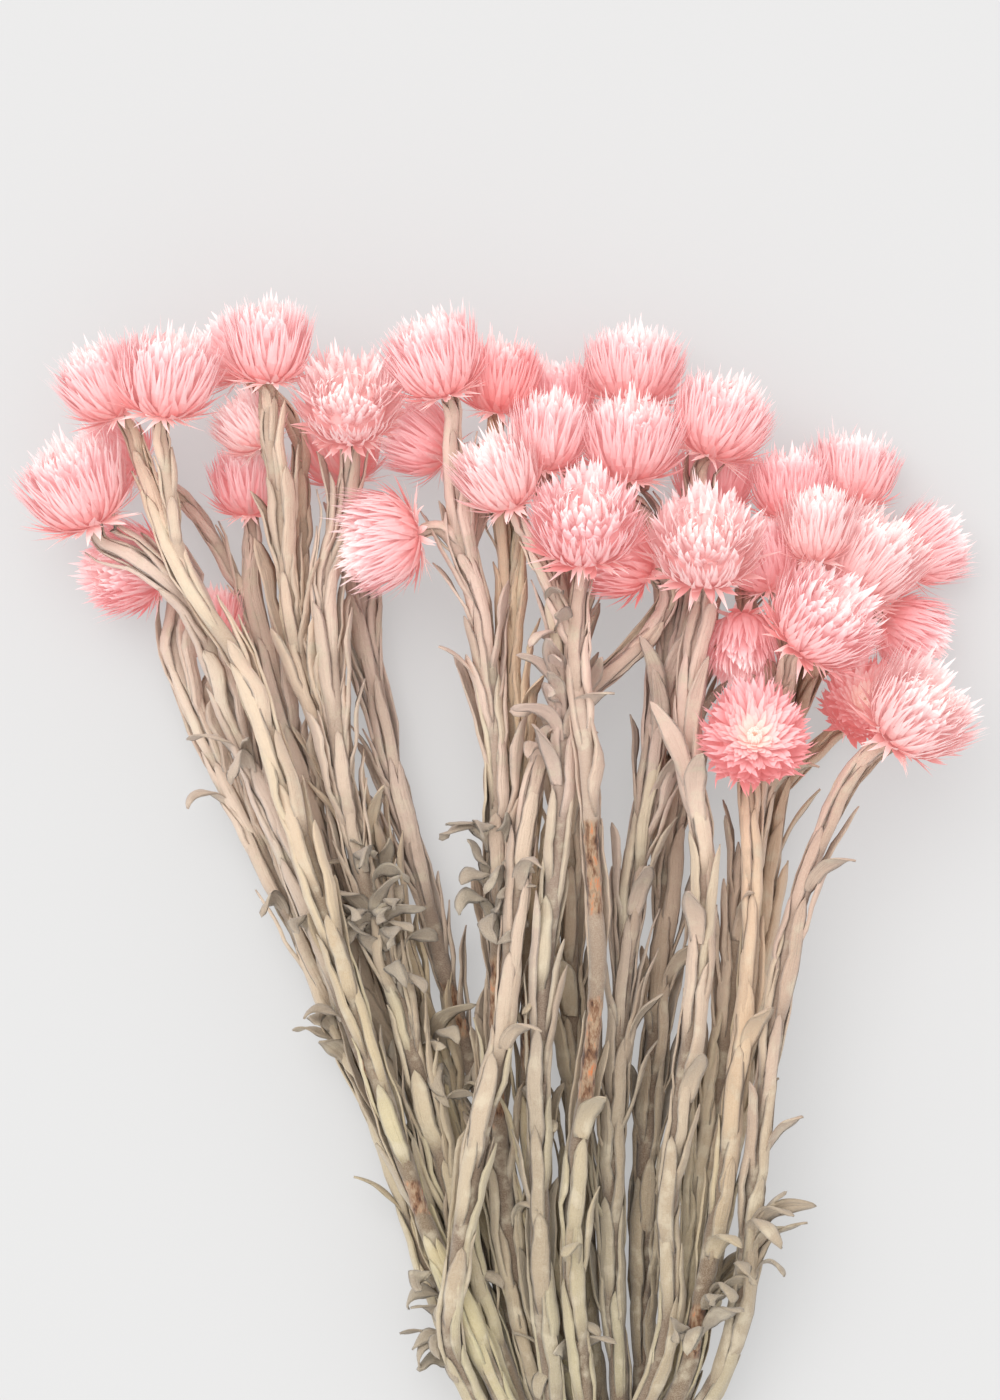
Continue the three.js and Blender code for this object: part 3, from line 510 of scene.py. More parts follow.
def stem_material(name):
    felt = Finish(name)
    along, draw, height, across, mark = felt.channels()
    place = felt.node("ShaderNodeSeparateXYZ")
    felt.link(felt.place, place.inputs["Vector"])
    x = place.outputs["X"]
    z = place.outputs["Z"]
    felt.colour = felt.ramp(height, list(zip((0.0, 0.5, 1.0), FELT_TONES[name])))
    # Browned leaves drawn at random, with the lower rows' lean to them painted shade of the bunch's depth
    felt.tint(felt.smooth(draw, 0.45, 1.0, 0.0, 0.5), BROWN_LEAF_AND_DEPTH_SHADE)
    felt.tint(felt.smooth(draw, 0.35, 0.0, 0.0, 0.4), GREENISH)
    felt.tint(felt.times(felt.smooth(x, 0.05, 0.12, 0.0, 0.45), felt.smooth(height, 0.25, 0.5, 0.25, 1.0)),
              ROSY_RIGHT)
    dull = felt.times(felt.smooth(x, -0.03, 0.03, 0.0, 0.5), felt.smooth(height, 0.55, 0.3))
    felt.tint(dull, DULL_RIGHT_FOOT)
    # Painted shade: the lower right stems darker still where they lie close to the floor
    felt.tint(felt.times(dull, felt.smooth(z, 0.02, 0.009, 0.0, 1.3)), PAINTED_LOW_SHADE)
    felt.tint(felt.times(felt.smooth(x, 0.02, -0.07, 0.0, 0.35), felt.smooth(height, 0.45, 0.75, 1.0, 0.0)),
              LEFT_FOOT)
    felt.tint(felt.times(felt.smooth(x, 0.02, -0.07, 0.0, 0.5), felt.smooth(height, 0.45, 0.75)), LEFT_TOP)
    # Painted shade: darker towards each leaf's root and on the tube between the leaves, less so near the head
    felt.tint(felt.times(felt.smooth(along, 0.0, 0.34, 0.92, 0.0), felt.smooth(height, 0.4, 0.9, 1.0, 0.4)),
              PAINTED_ROOT_SHADE)
    felt.tint(felt.times(felt.smooth(mark, -0.2, -0.9), 0.85), WITHERED)
    blotch = felt.noise(60.0, 4.0, 0.6)
    felt.tint(felt.smooth(blotch, 0.52, 0.75, 0.0, 0.4), BLOTCHED)
    felt.tint(felt.times(felt.smooth(height, 0.1, 0.02), felt.smooth(blotch, 0.4, 0.65, 0.15, 0.7)),
              BARE_FOOT)
    felt.tint(felt.smooth(felt.noise(120.0, 3.0, 0.55), 0.5, 0.72, 0.0, 0.45), PALE_PATCH)
    felt.tint(felt.smooth(felt.noise(2600.0, 3.0, 0.7), 0.35, 0.7, 0.0, 0.25), PALE_NAP)
    ragged = felt.plus(mark, felt.times(felt.plus(blotch, -0.5), 1.2))
    stretch = felt.node("ShaderNodeMapping", Scale=(1.0, 0.3, 1.0))
    felt.link(felt.place, stretch.inputs["Vector"])
    grain = felt.noise(420.0, 5.0, 0.65, stretch.outputs["Vector"])
    felt.tint(felt.smooth(ragged, 0.5, 0.7), felt.ramp(grain, BARK_STOPS))
    felt.tint(felt.smooth(mark, 1.4, 1.6), felt.ramp(across, WOOD_STOPS))
    creases = felt.noise(1.0, 3.0, 0.6, felt.blade_space(across, along, draw, (7.0, 3.0, 53.0)))
    relief = felt.plus(felt.times(felt.noise(1500.0, 5.0, 0.7), 0.5), felt.noise(300.0, 3.0, 0.6))
    felt.bump(felt.plus(relief, felt.times(creases, 1.6)), 0.8, 0.0006)
    return felt.close(Roughness=0.95, Specular_IOR_Level=0.2, Sheen_Weight=0.3, Sheen_Roughness=0.6)


FELTS = [(name, stem_material(name)) for name in FELT_TONES]


def rubber_material():
    rubber = Finish("tie_rubber")
    rubber.colour = linear(196, 152, 92)
    rubber.tint(rubber.smooth(rubber.noise(300.0, 4.0, 0.6), 0.4, 0.7, 0.0, 0.5), (222, 188, 140))
    rubber.bump(rubber.noise(900.0, 3.0), 0.25, 0.0002)
    return rubber.close(Roughness=0.62)


# Curves of the stems

def first_draw(seed):
    """The first number of the solids' own random rule, from 0 to 1."""
    state = (seed * 7919 + 12345) % 2147483647
    state = (state * 48271) % 2147483647
    return state / 2147483647


class Path:
    """Centripetal Catmull-Rom curve with frames carried along it."""

    def __init__(self, points, first_side):
        points = [np.array(p, float) for p in points]
        rows = []
        for i in range(len(points) - 1):
            p1, p2 = points[i], points[i + 1]
            p0 = points[i - 1] if i else 2 * p1 - p2
            p3 = points[i + 2] if i + 2 < len(points) else 2 * p2 - p1
            d0, d1, d2 = (math.sqrt(np.linalg.norm(b - a)) for a, b in ((p0, p1), (p1, p2), (p2, p3)))
            m1 = d1 * ((p1 - p0) / d0 - (p2 - p0) / (d0 + d1) + (p2 - p1) / d1)
            m2 = d1 * ((p2 - p1) / d1 - (p3 - p1) / (d1 + d2) + (p3 - p2) / d2)
            steps = max(2, round(np.linalg.norm(p2 - p1)))
            t = (np.arange(steps) / steps)[:, None]
            rows.append(p1 * (2 * t**3 - 3 * t**2 + 1) + m1 * (t**3 - 2 * t**2 + t)
                        + p2 * (3 * t**2 - 2 * t**3) + m2 * (t**3 - t**2))
        rows.append(points[-1][None])
        self.points = np.concatenate(rows)
        self.s = np.concatenate([[0], np.cumsum(np.linalg.norm(np.diff(self.points, axis=0), axis=1))])
        self.total = self.s[-1]
        self.tangents = unit(np.gradient(self.points, self.s, axis=0))
        side = np.array(first_side, float)
        sides = []
        for tangent in self.tangents:
            side = unit(side - tangent * side.dot(tangent))
            sides.append(side)
        self.sides = np.array(sides)

    def at(self, s):
        """Point, tangent, side and up at any array of lengths along the curve."""
        s = np.asarray(s, float)
        over = np.maximum(0, s - self.total)
        point, tangent, side = (
            np.stack([np.interp(s, self.s, rows[:, k]) for k in range(3)], axis=-1)
            for rows in (self.points, self.tangents, self.sides))
        tangent = unit(tangent)
        point = point + tangent * over[..., None]
        side = unit(side - tangent * np.sum(side * tangent, axis=-1, keepdims=True))
        return point, tangent, side, np.cross(tangent, side)


def head_end(number, back):
    """The point this far back from a head's foot, on its axis."""
    foot, axis = HEADS[number][:2]
    return np.array(foot, float) - unit(axis) * back


def main_route(number):
    """From the cut end through the tie to the foot of the stem's own head."""
    row, slot, head, route, _ = STEMS[number]
    middle_slot = 2.5 if row == 1 else 3
    from_middle = (slot - middle_slot) * STEM_PITCH
    x = TIE_X + from_middle
    z = LOW_ROW_Z + row * ROW_PITCH
    end_y = CUT_END_Y + first_draw(number) * CUT_END_VARIES
    return [
        (TIE_X + (x - TIE_X) * CUT_END_FAN, end_y, z), (x, TIE_Y - TIE_BAND * 1.4, z),
        (x, TIE_Y + TIE_BAND * 0.9, z), *route, head_end(head, NECK_LENGTH), head_end(head, 0),
    ]


# Leaves wrap part of the way round the stem, root sunk in and tip free.
# Their section runs across the top and back along the underside.

LEAF_V = np.array([-1, -0.55, 0, 0.55, 1, 0.5, 0, -0.5])
LEAF_TOP = np.array([0, 1, 0.55, 1, 0, -1, -1, -1])
LEAF_U = np.array([0, 0.06, 0.15, 0.26, 0.37, 0.48, 0.59, 0.69, 0.78, 0.87, 0.94, 1.0])
LEAF_THICK = 0.5
CURL_STEPS = 16
LOOSE_FROM = 0.3


def leaf_outline(u, fullness):
    """Half width along a strap leaf: quick to widen, rounded then pointed at the tip."""
    rise = np.minimum(1, 0.6 + 1.6 * u)
    close = np.clip((u - fullness) / (1 - fullness), 0, 1)
    return rise * (1 - close**2.3) ** 0.62


def add_leaves(work, path, radius_at, leaves, height_at):
    """leaves: columns s, angle, length, width, lift, twist, draw, crumple, stand, fold."""
    if not leaves:
        return
    s0, angle, length, width, lift, twist, draw, crumple, stand, fold = np.array(leaves, float).T[..., None]
    u = LEAF_U[None, :]
    s = s0 + length * u
    point, _, side, up = path.at(s)
    hold = radius_at(np.minimum(s, path.total))
    wave = draw * 40
    freed = np.minimum(1, u * 3)
    edge = 1 + 0.08 * np.sin(u * length * 0.3 + wave) + 0.06 * np.sin(u * length * 0.67 + wave * 2)
    half = width / 2 * leaf_outline(u, 0.6) * edge + 0.05
    hump = np.sin(math.pi * np.minimum(1, u * 1.15)) ** 1.5
    rise = -0.75 + 1.3 * np.minimum(1, u * 2.6) + lift * u**2 + stand * hump
    rise = rise + 0.24 * np.sin(u * length * 0.37 + wave * 1.7) * freed
    rise = rise + crumple * (1 + np.sin(u * 9 + wave)) * 0.9 * freed
    turn = angle + twist * u + 0.07 * np.sin(u * length * 0.2 + wave) + crumple * np.sin(u * 7 + wave) * 0.3
    body = LEAF_TOP * LEAF_THICK * (0.6 + 0.4 * np.sin(math.pi * np.clip(u, 0.05, 0.97)))[..., None]
    curl = fold[..., None] * np.abs(LEAF_V) ** 2 * half[..., None] * freed[..., None]
    radius = (hold + rise)[..., None] + body + curl
    radius = radius + crumple[..., None] * LEAF_V * np.cos(u * 8 + wave)[..., None] * 0.9
    wrap = half[..., None] * LEAF_V / np.maximum(2.6, (hold + np.clip(rise, 0, 4))[..., None])
    theta = turn[..., None] + wrap
    verts = section(point, side, up, np.cos(theta) * radius, np.sin(theta) * radius)
    along, draw, height = (value[..., None] for value in (u, draw, height_at(s)))
    work.rings(verts, channels(verts, along, draw, height, np.abs(LEAF_V) * 0.5))


def add_curls(work, path, radius_at, curls, height_at):
    """Loose leaves that bend away: (layout y, angle, length, width, bend, sideways bend, wither)."""
    u = np.linspace(0, 1, CURL_STEPS)
    for y, angle, length, width, bend, swing, wither in curls:
        s = float(np.interp(y, path.points[:, 1], path.s))
        point, tangent, side, up = (a[0] for a in path.at(np.array([s])))
        out = math.cos(angle) * side - math.sin(angle) * up
        across = np.cross(tangent, out)
        start = point + out * (float(radius_at(np.array([s]))[0]) - 0.4)
        pitch = (0.25 + bend * u**1.2)[:, None]
        yaw = (swing * u**1.5)[:, None]
        roll = (wither * np.sin(u * 5 + angle * 3))[:, None]
        forward = np.cos(pitch) * tangent + np.sin(pitch) * out
        forward = unit(forward * np.cos(yaw) + across * np.sin(yaw))
        moves = np.vstack([np.zeros(3), forward[:-1]])
        spine = start + np.cumsum(moves, axis=0) * length / (CURL_STEPS - 1)
        wide = unit(across * np.cos(yaw) - tangent * np.sin(yaw))
        wide = unit(wide - forward * np.sum(wide * forward, axis=1, keepdims=True))
        face = np.cross(forward, wide)
        rolled_wide = wide * np.cos(roll) + face * np.sin(roll)
        rolled_face = face * np.cos(roll) - wide * np.sin(roll)
        half = (width / 1.7 * leaf_outline(u, 0.55) * (1 + 0.12 * np.sin(u * 11 + angle)) + 0.05)[:, None]
        raised = LEAF_TOP * LEAF_THICK * 0.9 - 0.3 * np.abs(LEAF_V) ** 2 * half
        verts = section(spine, rolled_wide, rolled_face, LEAF_V * half, raised)[None]
        along = LOOSE_FROM + (1 - LOOSE_FROM) * u[:, None]
        info = channels(verts, along, (0.5 + 0.5 * wither) % 1.0, float(height_at(s)), np.abs(LEAF_V) * 0.5)
        work.rings(verts, info, -wither)


def add_tube(work, path, radius_at, height_at, rng, bare, step=3.0, sides=12):
    """The stem under the leaves, thinner and knotted along its bare stretches."""
    s = np.linspace(0, path.total, max(4, int(path.total / step)))[None, :]
    point, _, side, up = path.at(s)
    theta = np.arange(sides) / sides * 2 * math.pi
    phase = rng.uniform(0, 6.28, 4)
    along = s[..., None]
    lump = (1 + 0.05 * np.sin(along * 0.21 + phase[0] + theta)
            + 0.05 * np.sin(5 * theta + phase[1] + along * 0.02)
            + 0.03 * np.sin(along * 0.5 + phase[2]) * np.cos(2 * theta + phase[3]))
    radius = radius_at(s)[..., None] * lump
    for low, high in bare:
        from_middle = np.abs(point[..., 1] - (low + high) / 2) / ((high - low) / 2)
        inside = np.clip(1.2 - from_middle, 0, 1)[..., None]
        knots = np.sin(along * 0.9 + theta * 2 + phase[1]) * np.sin(along * 0.37 + phase[0])
        radius = radius * (1 - np.minimum(1, inside * 3) * (0.14 - 0.1 * knots))
    verts = section(point, side, up, np.cos(theta) * radius, np.sin(theta) * radius)
    marks = np.zeros(verts.shape[:-1])
    for low, high in bare:
        from_middle = np.abs(verts[..., 1] - (low + high) / 2) / ((high - low) / 2)
        marks = np.maximum(marks, np.clip(1.5 - from_middle, 0, 1))
    # An along of 0.06 puts the tube in the leaf roots' painted shade
    work.rings(verts, channels(verts, 0.06, rng.uniform(0.2, 0.8), height_at(s)[..., None], 0.0), marks)


def add_cut_end(work, path, radius):
    """The cut face at the foot of a stem: a thin disc of wood with a dark pith."""
    point, tangent, side, up = (a[0] for a in path.at(np.array([0.0])))
    out = circle(np.arange(12) / 12 * 2 * math.pi, side, up)
    rows = [(0.93, 0.05), (0.93, -0.2), (0.9, -0.22), (0.5, -0.22), (0.2, -0.26), (0.02, -0.26)]
    verts = np.array([point + out * share * radius + tangent * lift for share, lift in rows])[None]
    shares = np.array([share for share, _ in rows])[:, None]
    work.rings(verts, channels(verts, 0.5, 0.0, 0.0, shares), 2.0)


# Woody stretches where the leaves have gone: stem, then lowest and highest layout y
BARE = {
    17: [(-52, -8), (20, 56)],
    10: [(-62, 8)],
    11: [(-40, -8)],
    8: [(-62, -36)],
    4: [(-30, -6)],
    15: [(-96, -80)],
    19: [(-150, -128)],
}

# Loose, curled leaves on a stem: layout y, angle round it, length, width, bend, swing, wither
CURLS = {
    1: [(62, 2.6, 26, 4.5, 2.4, 0.4, 0.5), (20, 1.8, 24, 5, 2.8, -0.6, 0.7), (-96, 3, 26, 5, 0.9, 0.3, 0.2)],
    8: [(14, 2.2, 22, 5, 2.9, 0.6, 0.9), (-20, 2.9, 20, 4.5, 2.2, 0.5, 0.6), (-122, 2.4, 24, 6, 3, 0.8, 0.9),
        (-128, 2.9, 22, 6, 3.4, -0.7, 1), (-134, 1.9, 26, 6, 3.2, 0.2, 1)],
    9: [(36, 1.2, 26, 6, 3, -0.8, 0.9), (28, 0.6, 24, 5.5, 3.4, 0.6, 1), (6, 1, 28, 6, 3.2, -1, 0.9),
        (0, 0.2, 26, 5.5, 2.9, 0.9, 0.8), (-6, 1.5, 26, 5.5, 3.6, 0.4, 1), (-12, 0.8, 24, 6, 3.2, -0.3, 0.9),
        (-60, 0.3, 22, 5.5, 2.4, 0.4, 0.6)],
    3: [(-56, 0.6, 24, 5, 2.6, -0.5, 0.6), (44, 0.9, 30, 5, 0.9, 0.2, 0.2)],
    10: [(46, 2.2, 28, 6, 2.6, 0.9, 0.8), (30, 1.6, 26, 6, 3.2, -0.5, 0.9), (20, 2.6, 26, 5.5, 3, 0.5, 1),
         (12, 2, 30, 6, 3.5, 0.8, 0.9), (-100, 0.8, 24, 5, 2.2, -0.4, 0.5), (104, 2.8, 30, 5, 1.1, 0.5, 0.2)],
    14: [(30, 1.7, 30, 6, 2.4, 0.7, 0.6), (-30, 1.2, 24, 5.5, 2, 0.6, 0.4)],
    11: [(-20, 1.4, 24, 6, 2.8, -0.7, 0.5), (-52, 1.6, 24, 6, 3, 0.6, 0.6),
         (-66, 0.9, 20, 5, 2.6, -0.4, 0.5), (90, 0.6, 28, 6, 1, -0.4, 0.2)],
    16: [(104, 2, 34, 6.5, 1.4, 0.5, 0.4), (120, 1.4, 30, 6.5, 1.8, -0.6, 0.6),
         (88, 1, 32, 6.5, 1.6, 0.5, 0.5), (70, 2.3, 34, 6.5, 1.2, 0.4, 0.3), (132, 1.8, 26, 6, 2, 0.7, 0.6)],
    17: [(-64, 1.5, 30, 7, 1.2, 0.5, 0.2), (-112, 1.6, 22, 7, 2.4, -0.4, 0.2)],
    12: [(74, 1.4, 44, 6, 0.2, -0.6, 0.2), (88, 1.7, 42, 5.5, 0.25, -0.75, 0.3),
         (98, 1.5, 38, 5.5, 0.2, 0.5, 0.2), (60, 0.9, 36, 6.5, 1, -0.4, 0.1),
         (20, 1.2, 30, 6.5, 1.2, -0.5, 0.2), (-30, 0.5, 30, 6, 1, -0.5, 0.2)],
    18: [(66, 1.8, 40, 6, 0.1, -0.45, 0.2), (82, 1.2, 38, 5.5, 0.1, 0.45, 0.3),
         (56, 1.6, 34, 7, 1.1, 0.5, 0.2), (10, 2, 32, 7, 1.3, 0.4, 0.3), (-50, 1.2, 30, 7, 1, -0.4, 0.2)],
    19: [(-30, 1, 30, 7, 1.4, -0.5, 0.3), (-110, 1.3, 26, 7, 2.2, 0.5, 0.4),
         (-126, 0.7, 22, 7, 2.8, -0.6, 0.7)],
    7: [(40, 0.3, 34, 5.5, 0.6, -0.2, 0.1), (-60, 0.6, 26, 5.5, 1, -0.4, 0.3),
        (-120, 0.2, 24, 6, 1.8, -0.5, 0.5)],
    20: [(30, 1, 28, 5, 1.4, 0.4, 0.5), (-70, 0.6, 26, 6, 1.2, -0.3, 0.3), (-100, 0.9, 24, 6, 2, 0.5, 0.6),
         (-118, 0.5, 22, 6, 2.6, -0.5, 0.8)],
    13: [(66, 1, 30, 6, 1.6, 0.6, 0.4), (10, 1.4, 30, 6.5, 1.2, -0.3, 0.2)],
    5: [(80, 1.5, 46, 6.5, 0.1, 0.6, 0.3), (94, 1.6, 46, 6, 0.15, 0.8, 0.2),
        (106, 1.4, 42, 6, 0.2, 0.6, 0.3), (-20, 1.7, 34, 7, 1, -0.5, 0.2), (50, 1.5, 30, 6, 1.2, 0.5, 0.3)],
    6: [(62, 1.5, 46, 6.5, 0.1, -0.5, 0.3), (78, 1.6, 44, 6.5, 0.15, -0.8, 0.2),
        (92, 1.4, 40, 6, 0.2, 0.5, 0.3), (88, 0.6, 34, 5.5, 0.8, -0.4, 0.1),
        (-10, 0.8, 30, 6.5, 1.2, 0.4, 0.3)],
}

# Clumps of withered leaves: stem, then layout y, spread, number, angle, wither
CLUMPS = {
    9: [(6, 16, 12, 1.5, 0.9)],
    3: [(30, 12, 7, 1.7, 0.9), (-45, 16, 6, 1.2, 0.7)],
    10: [(28, 20, 11, 1.9, 0.9)],
    8: [(-146, 12, 10, 2.3, 1.0), (84, 14, 3, 2.0, 0.6)],
    1: [(-30, 12, 3, 2.2, 0.6)],
    11: [(-150, 14, 5, 1.6, 0.8)],
    7: [(-128, 14, 5, 0.8, 0.4)],
    20: [(-112, 14, 6, 1.0, 0.5)],
    16: [(104, 18, 6, 1.5, 0.3)],
    14: [(90, 14, 5, 1.5, 0.4)],
    19: [(-138, 12, 5, 1.3, 0.8)],
    2: [(-130, 10, 4, 1.6, 0.8)],
}

# Ranges that leaves are drawn from: length, width and lift, then twist, in millimetres and radians
LONG_LEAF = ((34, 66), (5.0, 8.6), (0.0, 1.8))
TOP_LEAF = ((20, 36), (3.4, 5.2), (0.0, 1.2))
SIDE_LEAF = ((34, 60), (6.0, 9.0), (4, 11), (-0.4, 0.4))
BRANCH_LEAF = ((16, 28), (3.4, 5.0), (0, 0.9), (-0.3, 0.3))
# A clump's: length, width, bend and swing
CLUMP_LEAF = ((19, 32), (4.4, 6.8), (0.8, 3.6), (-1.6, 1.6))

# From one leaf or floret to the next, in radians
SPIRAL_TURN = 2.4

# Where the kinds of leaves begin and end along a stem, their steps, and the shares that stand out
LEAVES_FROM = 15
LEAVES_END = 9
LONG_LEAVES_END = 48
LONG_STEP = 8.0
TOP_STEP = 6.4
LIFTED_SHARE = 0.22
LIFTED = (2.5, 6.5)
CRUMPLED_SHARE = 0.07
SIDE_STEP = 12.0
SIDE_FROM_Y = -140
SIDE_TO_Y = 165

# How strongly each row's leaves lean to the browner draws, from the lowest row to the top one: the browned
# leaves are real, while the lower rows' stronger lean is painted shade for lying deeper in the bunch
BROWNING_AND_DEPTH_SHADE = (0.5, 0.8, 1.3)

# Along a stem, above the tie: where it starts to thicken, is thickest, and below the head its taper
THICKENS_FROM = 14
THICK_AT = 45
NECK_TAPER = 40


def draw_from(ranges, rng):
    return [rng.uniform(*limits) for limits in ranges]


class Stalk:
    """One stem without its branches: its curve, its radius and its height from tie to head."""

    def __init__(self, number):
        self.path = Path(main_route(number), (1, 0, 0))
        self.tie_at = TIE_Y - self.path.points[0][1]
        self.bare = BARE.get(number, [])

    def radius(self, s):
        """The tube under the leaves: a little less than the solid stem, and less again where dressed."""
        away = s - self.tie_at
        rest = self.path.total - s
        tapering = (away - THICK_AT) / (self.path.total - self.tie_at - THICK_AT)
        body = STEM_LOW_RADIUS + (STEM_TOP_RADIUS - STEM_LOW_RADIUS) * tapering
        upper = NECK_RADIUS + (body - NECK_RADIUS) * np.clip(rest / NECK_TAPER, 0, 1)
        thickening = np.clip((away - THICKENS_FROM) / (THICK_AT - THICKENS_FROM), 0, 1)
        low = STEM_TIE_RADIUS + (STEM_LOW_RADIUS - STEM_TIE_RADIUS) * thickening
        solid = np.where(away < THICK_AT, low, upper) * np.where(away < -THICKENS_FROM, 0.94, 1)
        dressed = np.clip((away - 12) / 30, 0, 1)
        return solid * (0.93 - 0.15 * dressed)

    def height(self, s):
        """0 at the tie to 1 at the head."""
        return np.clip((s - self.tie_at) / (self.path.total - self.tie_at), 0, 1)

    def bared(self, s, angle, length):
        """Whether a leaf would cover a woody stretch on the side that faces up."""
        start, end = np.interp([s, min(s + length, self.path.total)], self.path.s, self.path.points[:, 1])
        return math.sin(angle) < 0.35 and any(end > low - 2 and start < high for low, high in self.bare)


def wrapping_leaves(row, stalk, rng):
    """The leaves that dress a stem from the tie to the neck, and the number of turns taken."""
    made = []
    s = stalk.tie_at + LEAVES_FROM
    k = 0
    while s < stalk.path.total - LEAVES_END:
        away = s - stalk.tie_at
        rest = stalk.path.total - s
        fan = np.clip(away / 70, 0.2, 1)
        if rest > LONG_LEAVES_END:
            length, width, lift = draw_from(LONG_LEAF, rng)
            lift = lift * fan
            if rng.uniform() < LIFTED_SHARE and away > 60:
                lift = rng.uniform(*LIFTED)
            step = LONG_STEP
            freedom = 1.0
        else:
            length, width, lift = draw_from(TOP_LEAF, rng)
            length = min(length, rest - 1)
            step = TOP_STEP
            freedom = 0.4
        angle = k * SPIRAL_TURN + rng.uniform(-0.7, 0.7)
        crumple = 0.8 if rng.uniform() < CRUMPLED_SHARE and rest > 60 and away > 60 else 0.0
        draw = rng.uniform() ** BROWNING_AND_DEPTH_SHADE[row]
        twist = rng.uniform(-0.5, 0.5) * 0.55
        stand = rng.uniform(0, 1.5) ** 1.5 * fan * freedom
        fold = rng.uniform(-0.28, 0.16)
        if not stalk.bared(s, angle, length):
            made.append((s, angle, length, width, lift, twist, draw, crumple, stand, fold))
        s += step * rng.uniform(0.85, 1.15)
        k += 1
    return made, k


def side_leaves(number, path, rng):
    """Leaves that lean sideways into the gaps between the stems, but not out of the bunch."""
    row, slot = STEMS[number][:2]
    made = []
    s = float(np.interp(SIDE_FROM_Y, path.points[:, 1], path.s))
    while s < path.total - LONG_LEAVES_END:
        y = float(np.interp(s, path.s, path.points[:, 1]))
        left = rng.uniform() < 0.5
        if slot == 0:
            left = False
        if slot == 6 or number in (13, 19):
            left = True
        if y < SIDE_TO_Y and row < 2:
            angle = (math.pi if left else 0.0) + rng.uniform(-0.5, 0.35)
            made.append((s, angle, *draw_from(SIDE_LEAF, rng), rng.uniform() ** BROWNING_AND_DEPTH_SHADE[row], 0.0,
                         rng.uniform(0, 2.0), rng.uniform(-0.2, 0.15)))
        s += SIDE_STEP * rng.uniform(0.7, 1.3)
    return made


def clump_leaves(number, rng):
    """The loose leaves of a stem's clumps, each drawn about the clump's own numbers."""
    made = []
    for y, spread, count, angle, wither in CLUMPS.get(number, []):
        for _ in range(count):
            made.append((y + rng.uniform(-spread, spread), angle + rng.uniform(-1.1, 1.1),
                         *draw_from(CLUMP_LEAF, rng), wither * rng.uniform(0.7, 1.1)))
    return made


def add_branch(work, stalk, grown, head, route, k, rng):
    """A leafy side branch from the nearest point of what has grown, and the turns taken so far."""
    samples = np.concatenate([path.points for path in grown])
    root = samples[np.argmin(np.linalg.norm(samples - np.array(route[0], float), axis=1))]
    path = Path([root, *route[1:], head_end(head, NECK_LENGTH), head_end(head, 0)], (0, 0, 1))
    grown.append(path)
    nearest = np.argmin(np.linalg.norm(stalk.path.points - root, axis=1))
    joined = float(stalk.height(np.array(stalk.path.s[nearest])))
    neck_at = path.total - NECK_LENGTH

    def radius(s):
        return np.where(s > neck_at, NECK_RADIUS * 0.95, BRANCH_RADIUS) * 0.86

    def height(s):
        return joined + (1 - joined) * np.clip(s / path.total, 0, 1)

    add_tube(work, path, radius, height, rng, [], step=2.6, sides=10)
    leaves = []
    s = 2.0
    while s < neck_at:
        length, width, lift, twist = draw_from(BRANCH_LEAF, rng)
        length = min(length, path.total - s - 1)
        leaves.append((s, k * SPIRAL_TURN, length, width, lift, twist, rng.uniform(), 0.0,
                       rng.uniform(0, 0.5), rng.uniform(-0.25, 0.1)))
        s += rng.uniform(4.6, 6.6)
        k += 1
    add_leaves(work, path, radius, leaves, height)
    return k


def make_stem(number):
    rng = np.random.default_rng(100 + number)
    row = STEMS[number][0]
    branches = STEMS[number][4]
    work = Patchwork()
    stalk = Stalk(number)
    path = stalk.path
    add_tube(work, path, stalk.radius, stalk.height, rng, stalk.bare)
    add_cut_end(work, path, float(stalk.radius(np.array([0.0]))[0]))
    leaves, k = wrapping_leaves(row, stalk, rng)
    leaves += side_leaves(number, path, rng)
    add_leaves(work, path, stalk.radius, leaves, stalk.height)
    add_curls(work, path, stalk.radius, CURLS.get(number, []) + clump_leaves(number, rng), stalk.height)
    grown = [path]
    for branch_head, branch_route in branches:
        k = add_branch(work, stalk, grown, branch_head, branch_route, k, rng)

    slot_name, material = FELTS[(number - 1) % 4]
    piece = work.build("leafy_stem_%02d" % number, material)
    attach(piece, "root")
    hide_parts("stem_%02d" % number)


# Flower heads: some 300 to 550 pointed bracts, by the head's size, rise from a small cup.
# A few short white ones hang out below, the next splay outwards, most lie closely along the
# outside of the bowl with only their tips free, and the rest end in a dome.

BRACTS_PER_HEAD = 480
USUAL_RADIUS = 18.5
GOLDEN_ANGLE = 2.39996

# Bracts are ranked from 0, lowest, to 1, innermost: where hanging, splaying and bowl ones end
HANGING_SHARE = 0.07
SPLAY_SHARE = 0.14
BOWL_SHARE = 0.54

# By form: the looks' radius over the solid's, how pale tips get, sway, and how deep the layers go
SWELL = {"bell": 1.07, "open": 0.95}
TIP_PALENESS = {"bell": 1.0, "open": 0.82}
SWAY = {"bell": 0.16, "open": 0.28}
LAYERS = {"bell": 0.85, "open": 1.0}

# How far a bract's place in the head sets its paleness, against its own length
PLACE_SHARE = 0.8
WISP_SHARE = 0.2
WISP_WIDTH = 0.68
TUFTS = 9
TUFT_PULL = 0.1

# A bract's section, and along its length its stations, tapers and thickness
PETAL_V = np.array([-1, 0, 1])
PETAL_RIDGE = np.array([0, 1, 0])
PETAL_T = np.array([0, 0.26, 0.5, 0.71, 0.87, 1.0])
PETAL_TAPER = np.array([0.42, 0.88, 1.0, 0.82, 0.4, 0.02])
DOME_TAPER = np.array([0.42, 0.75, 0.95, 1.05, 0.74, 0.02])
PETAL_THICK = 0.08 * np.array([1.3, 1, 1, 0.9, 0.6, 0.15])[:, None]

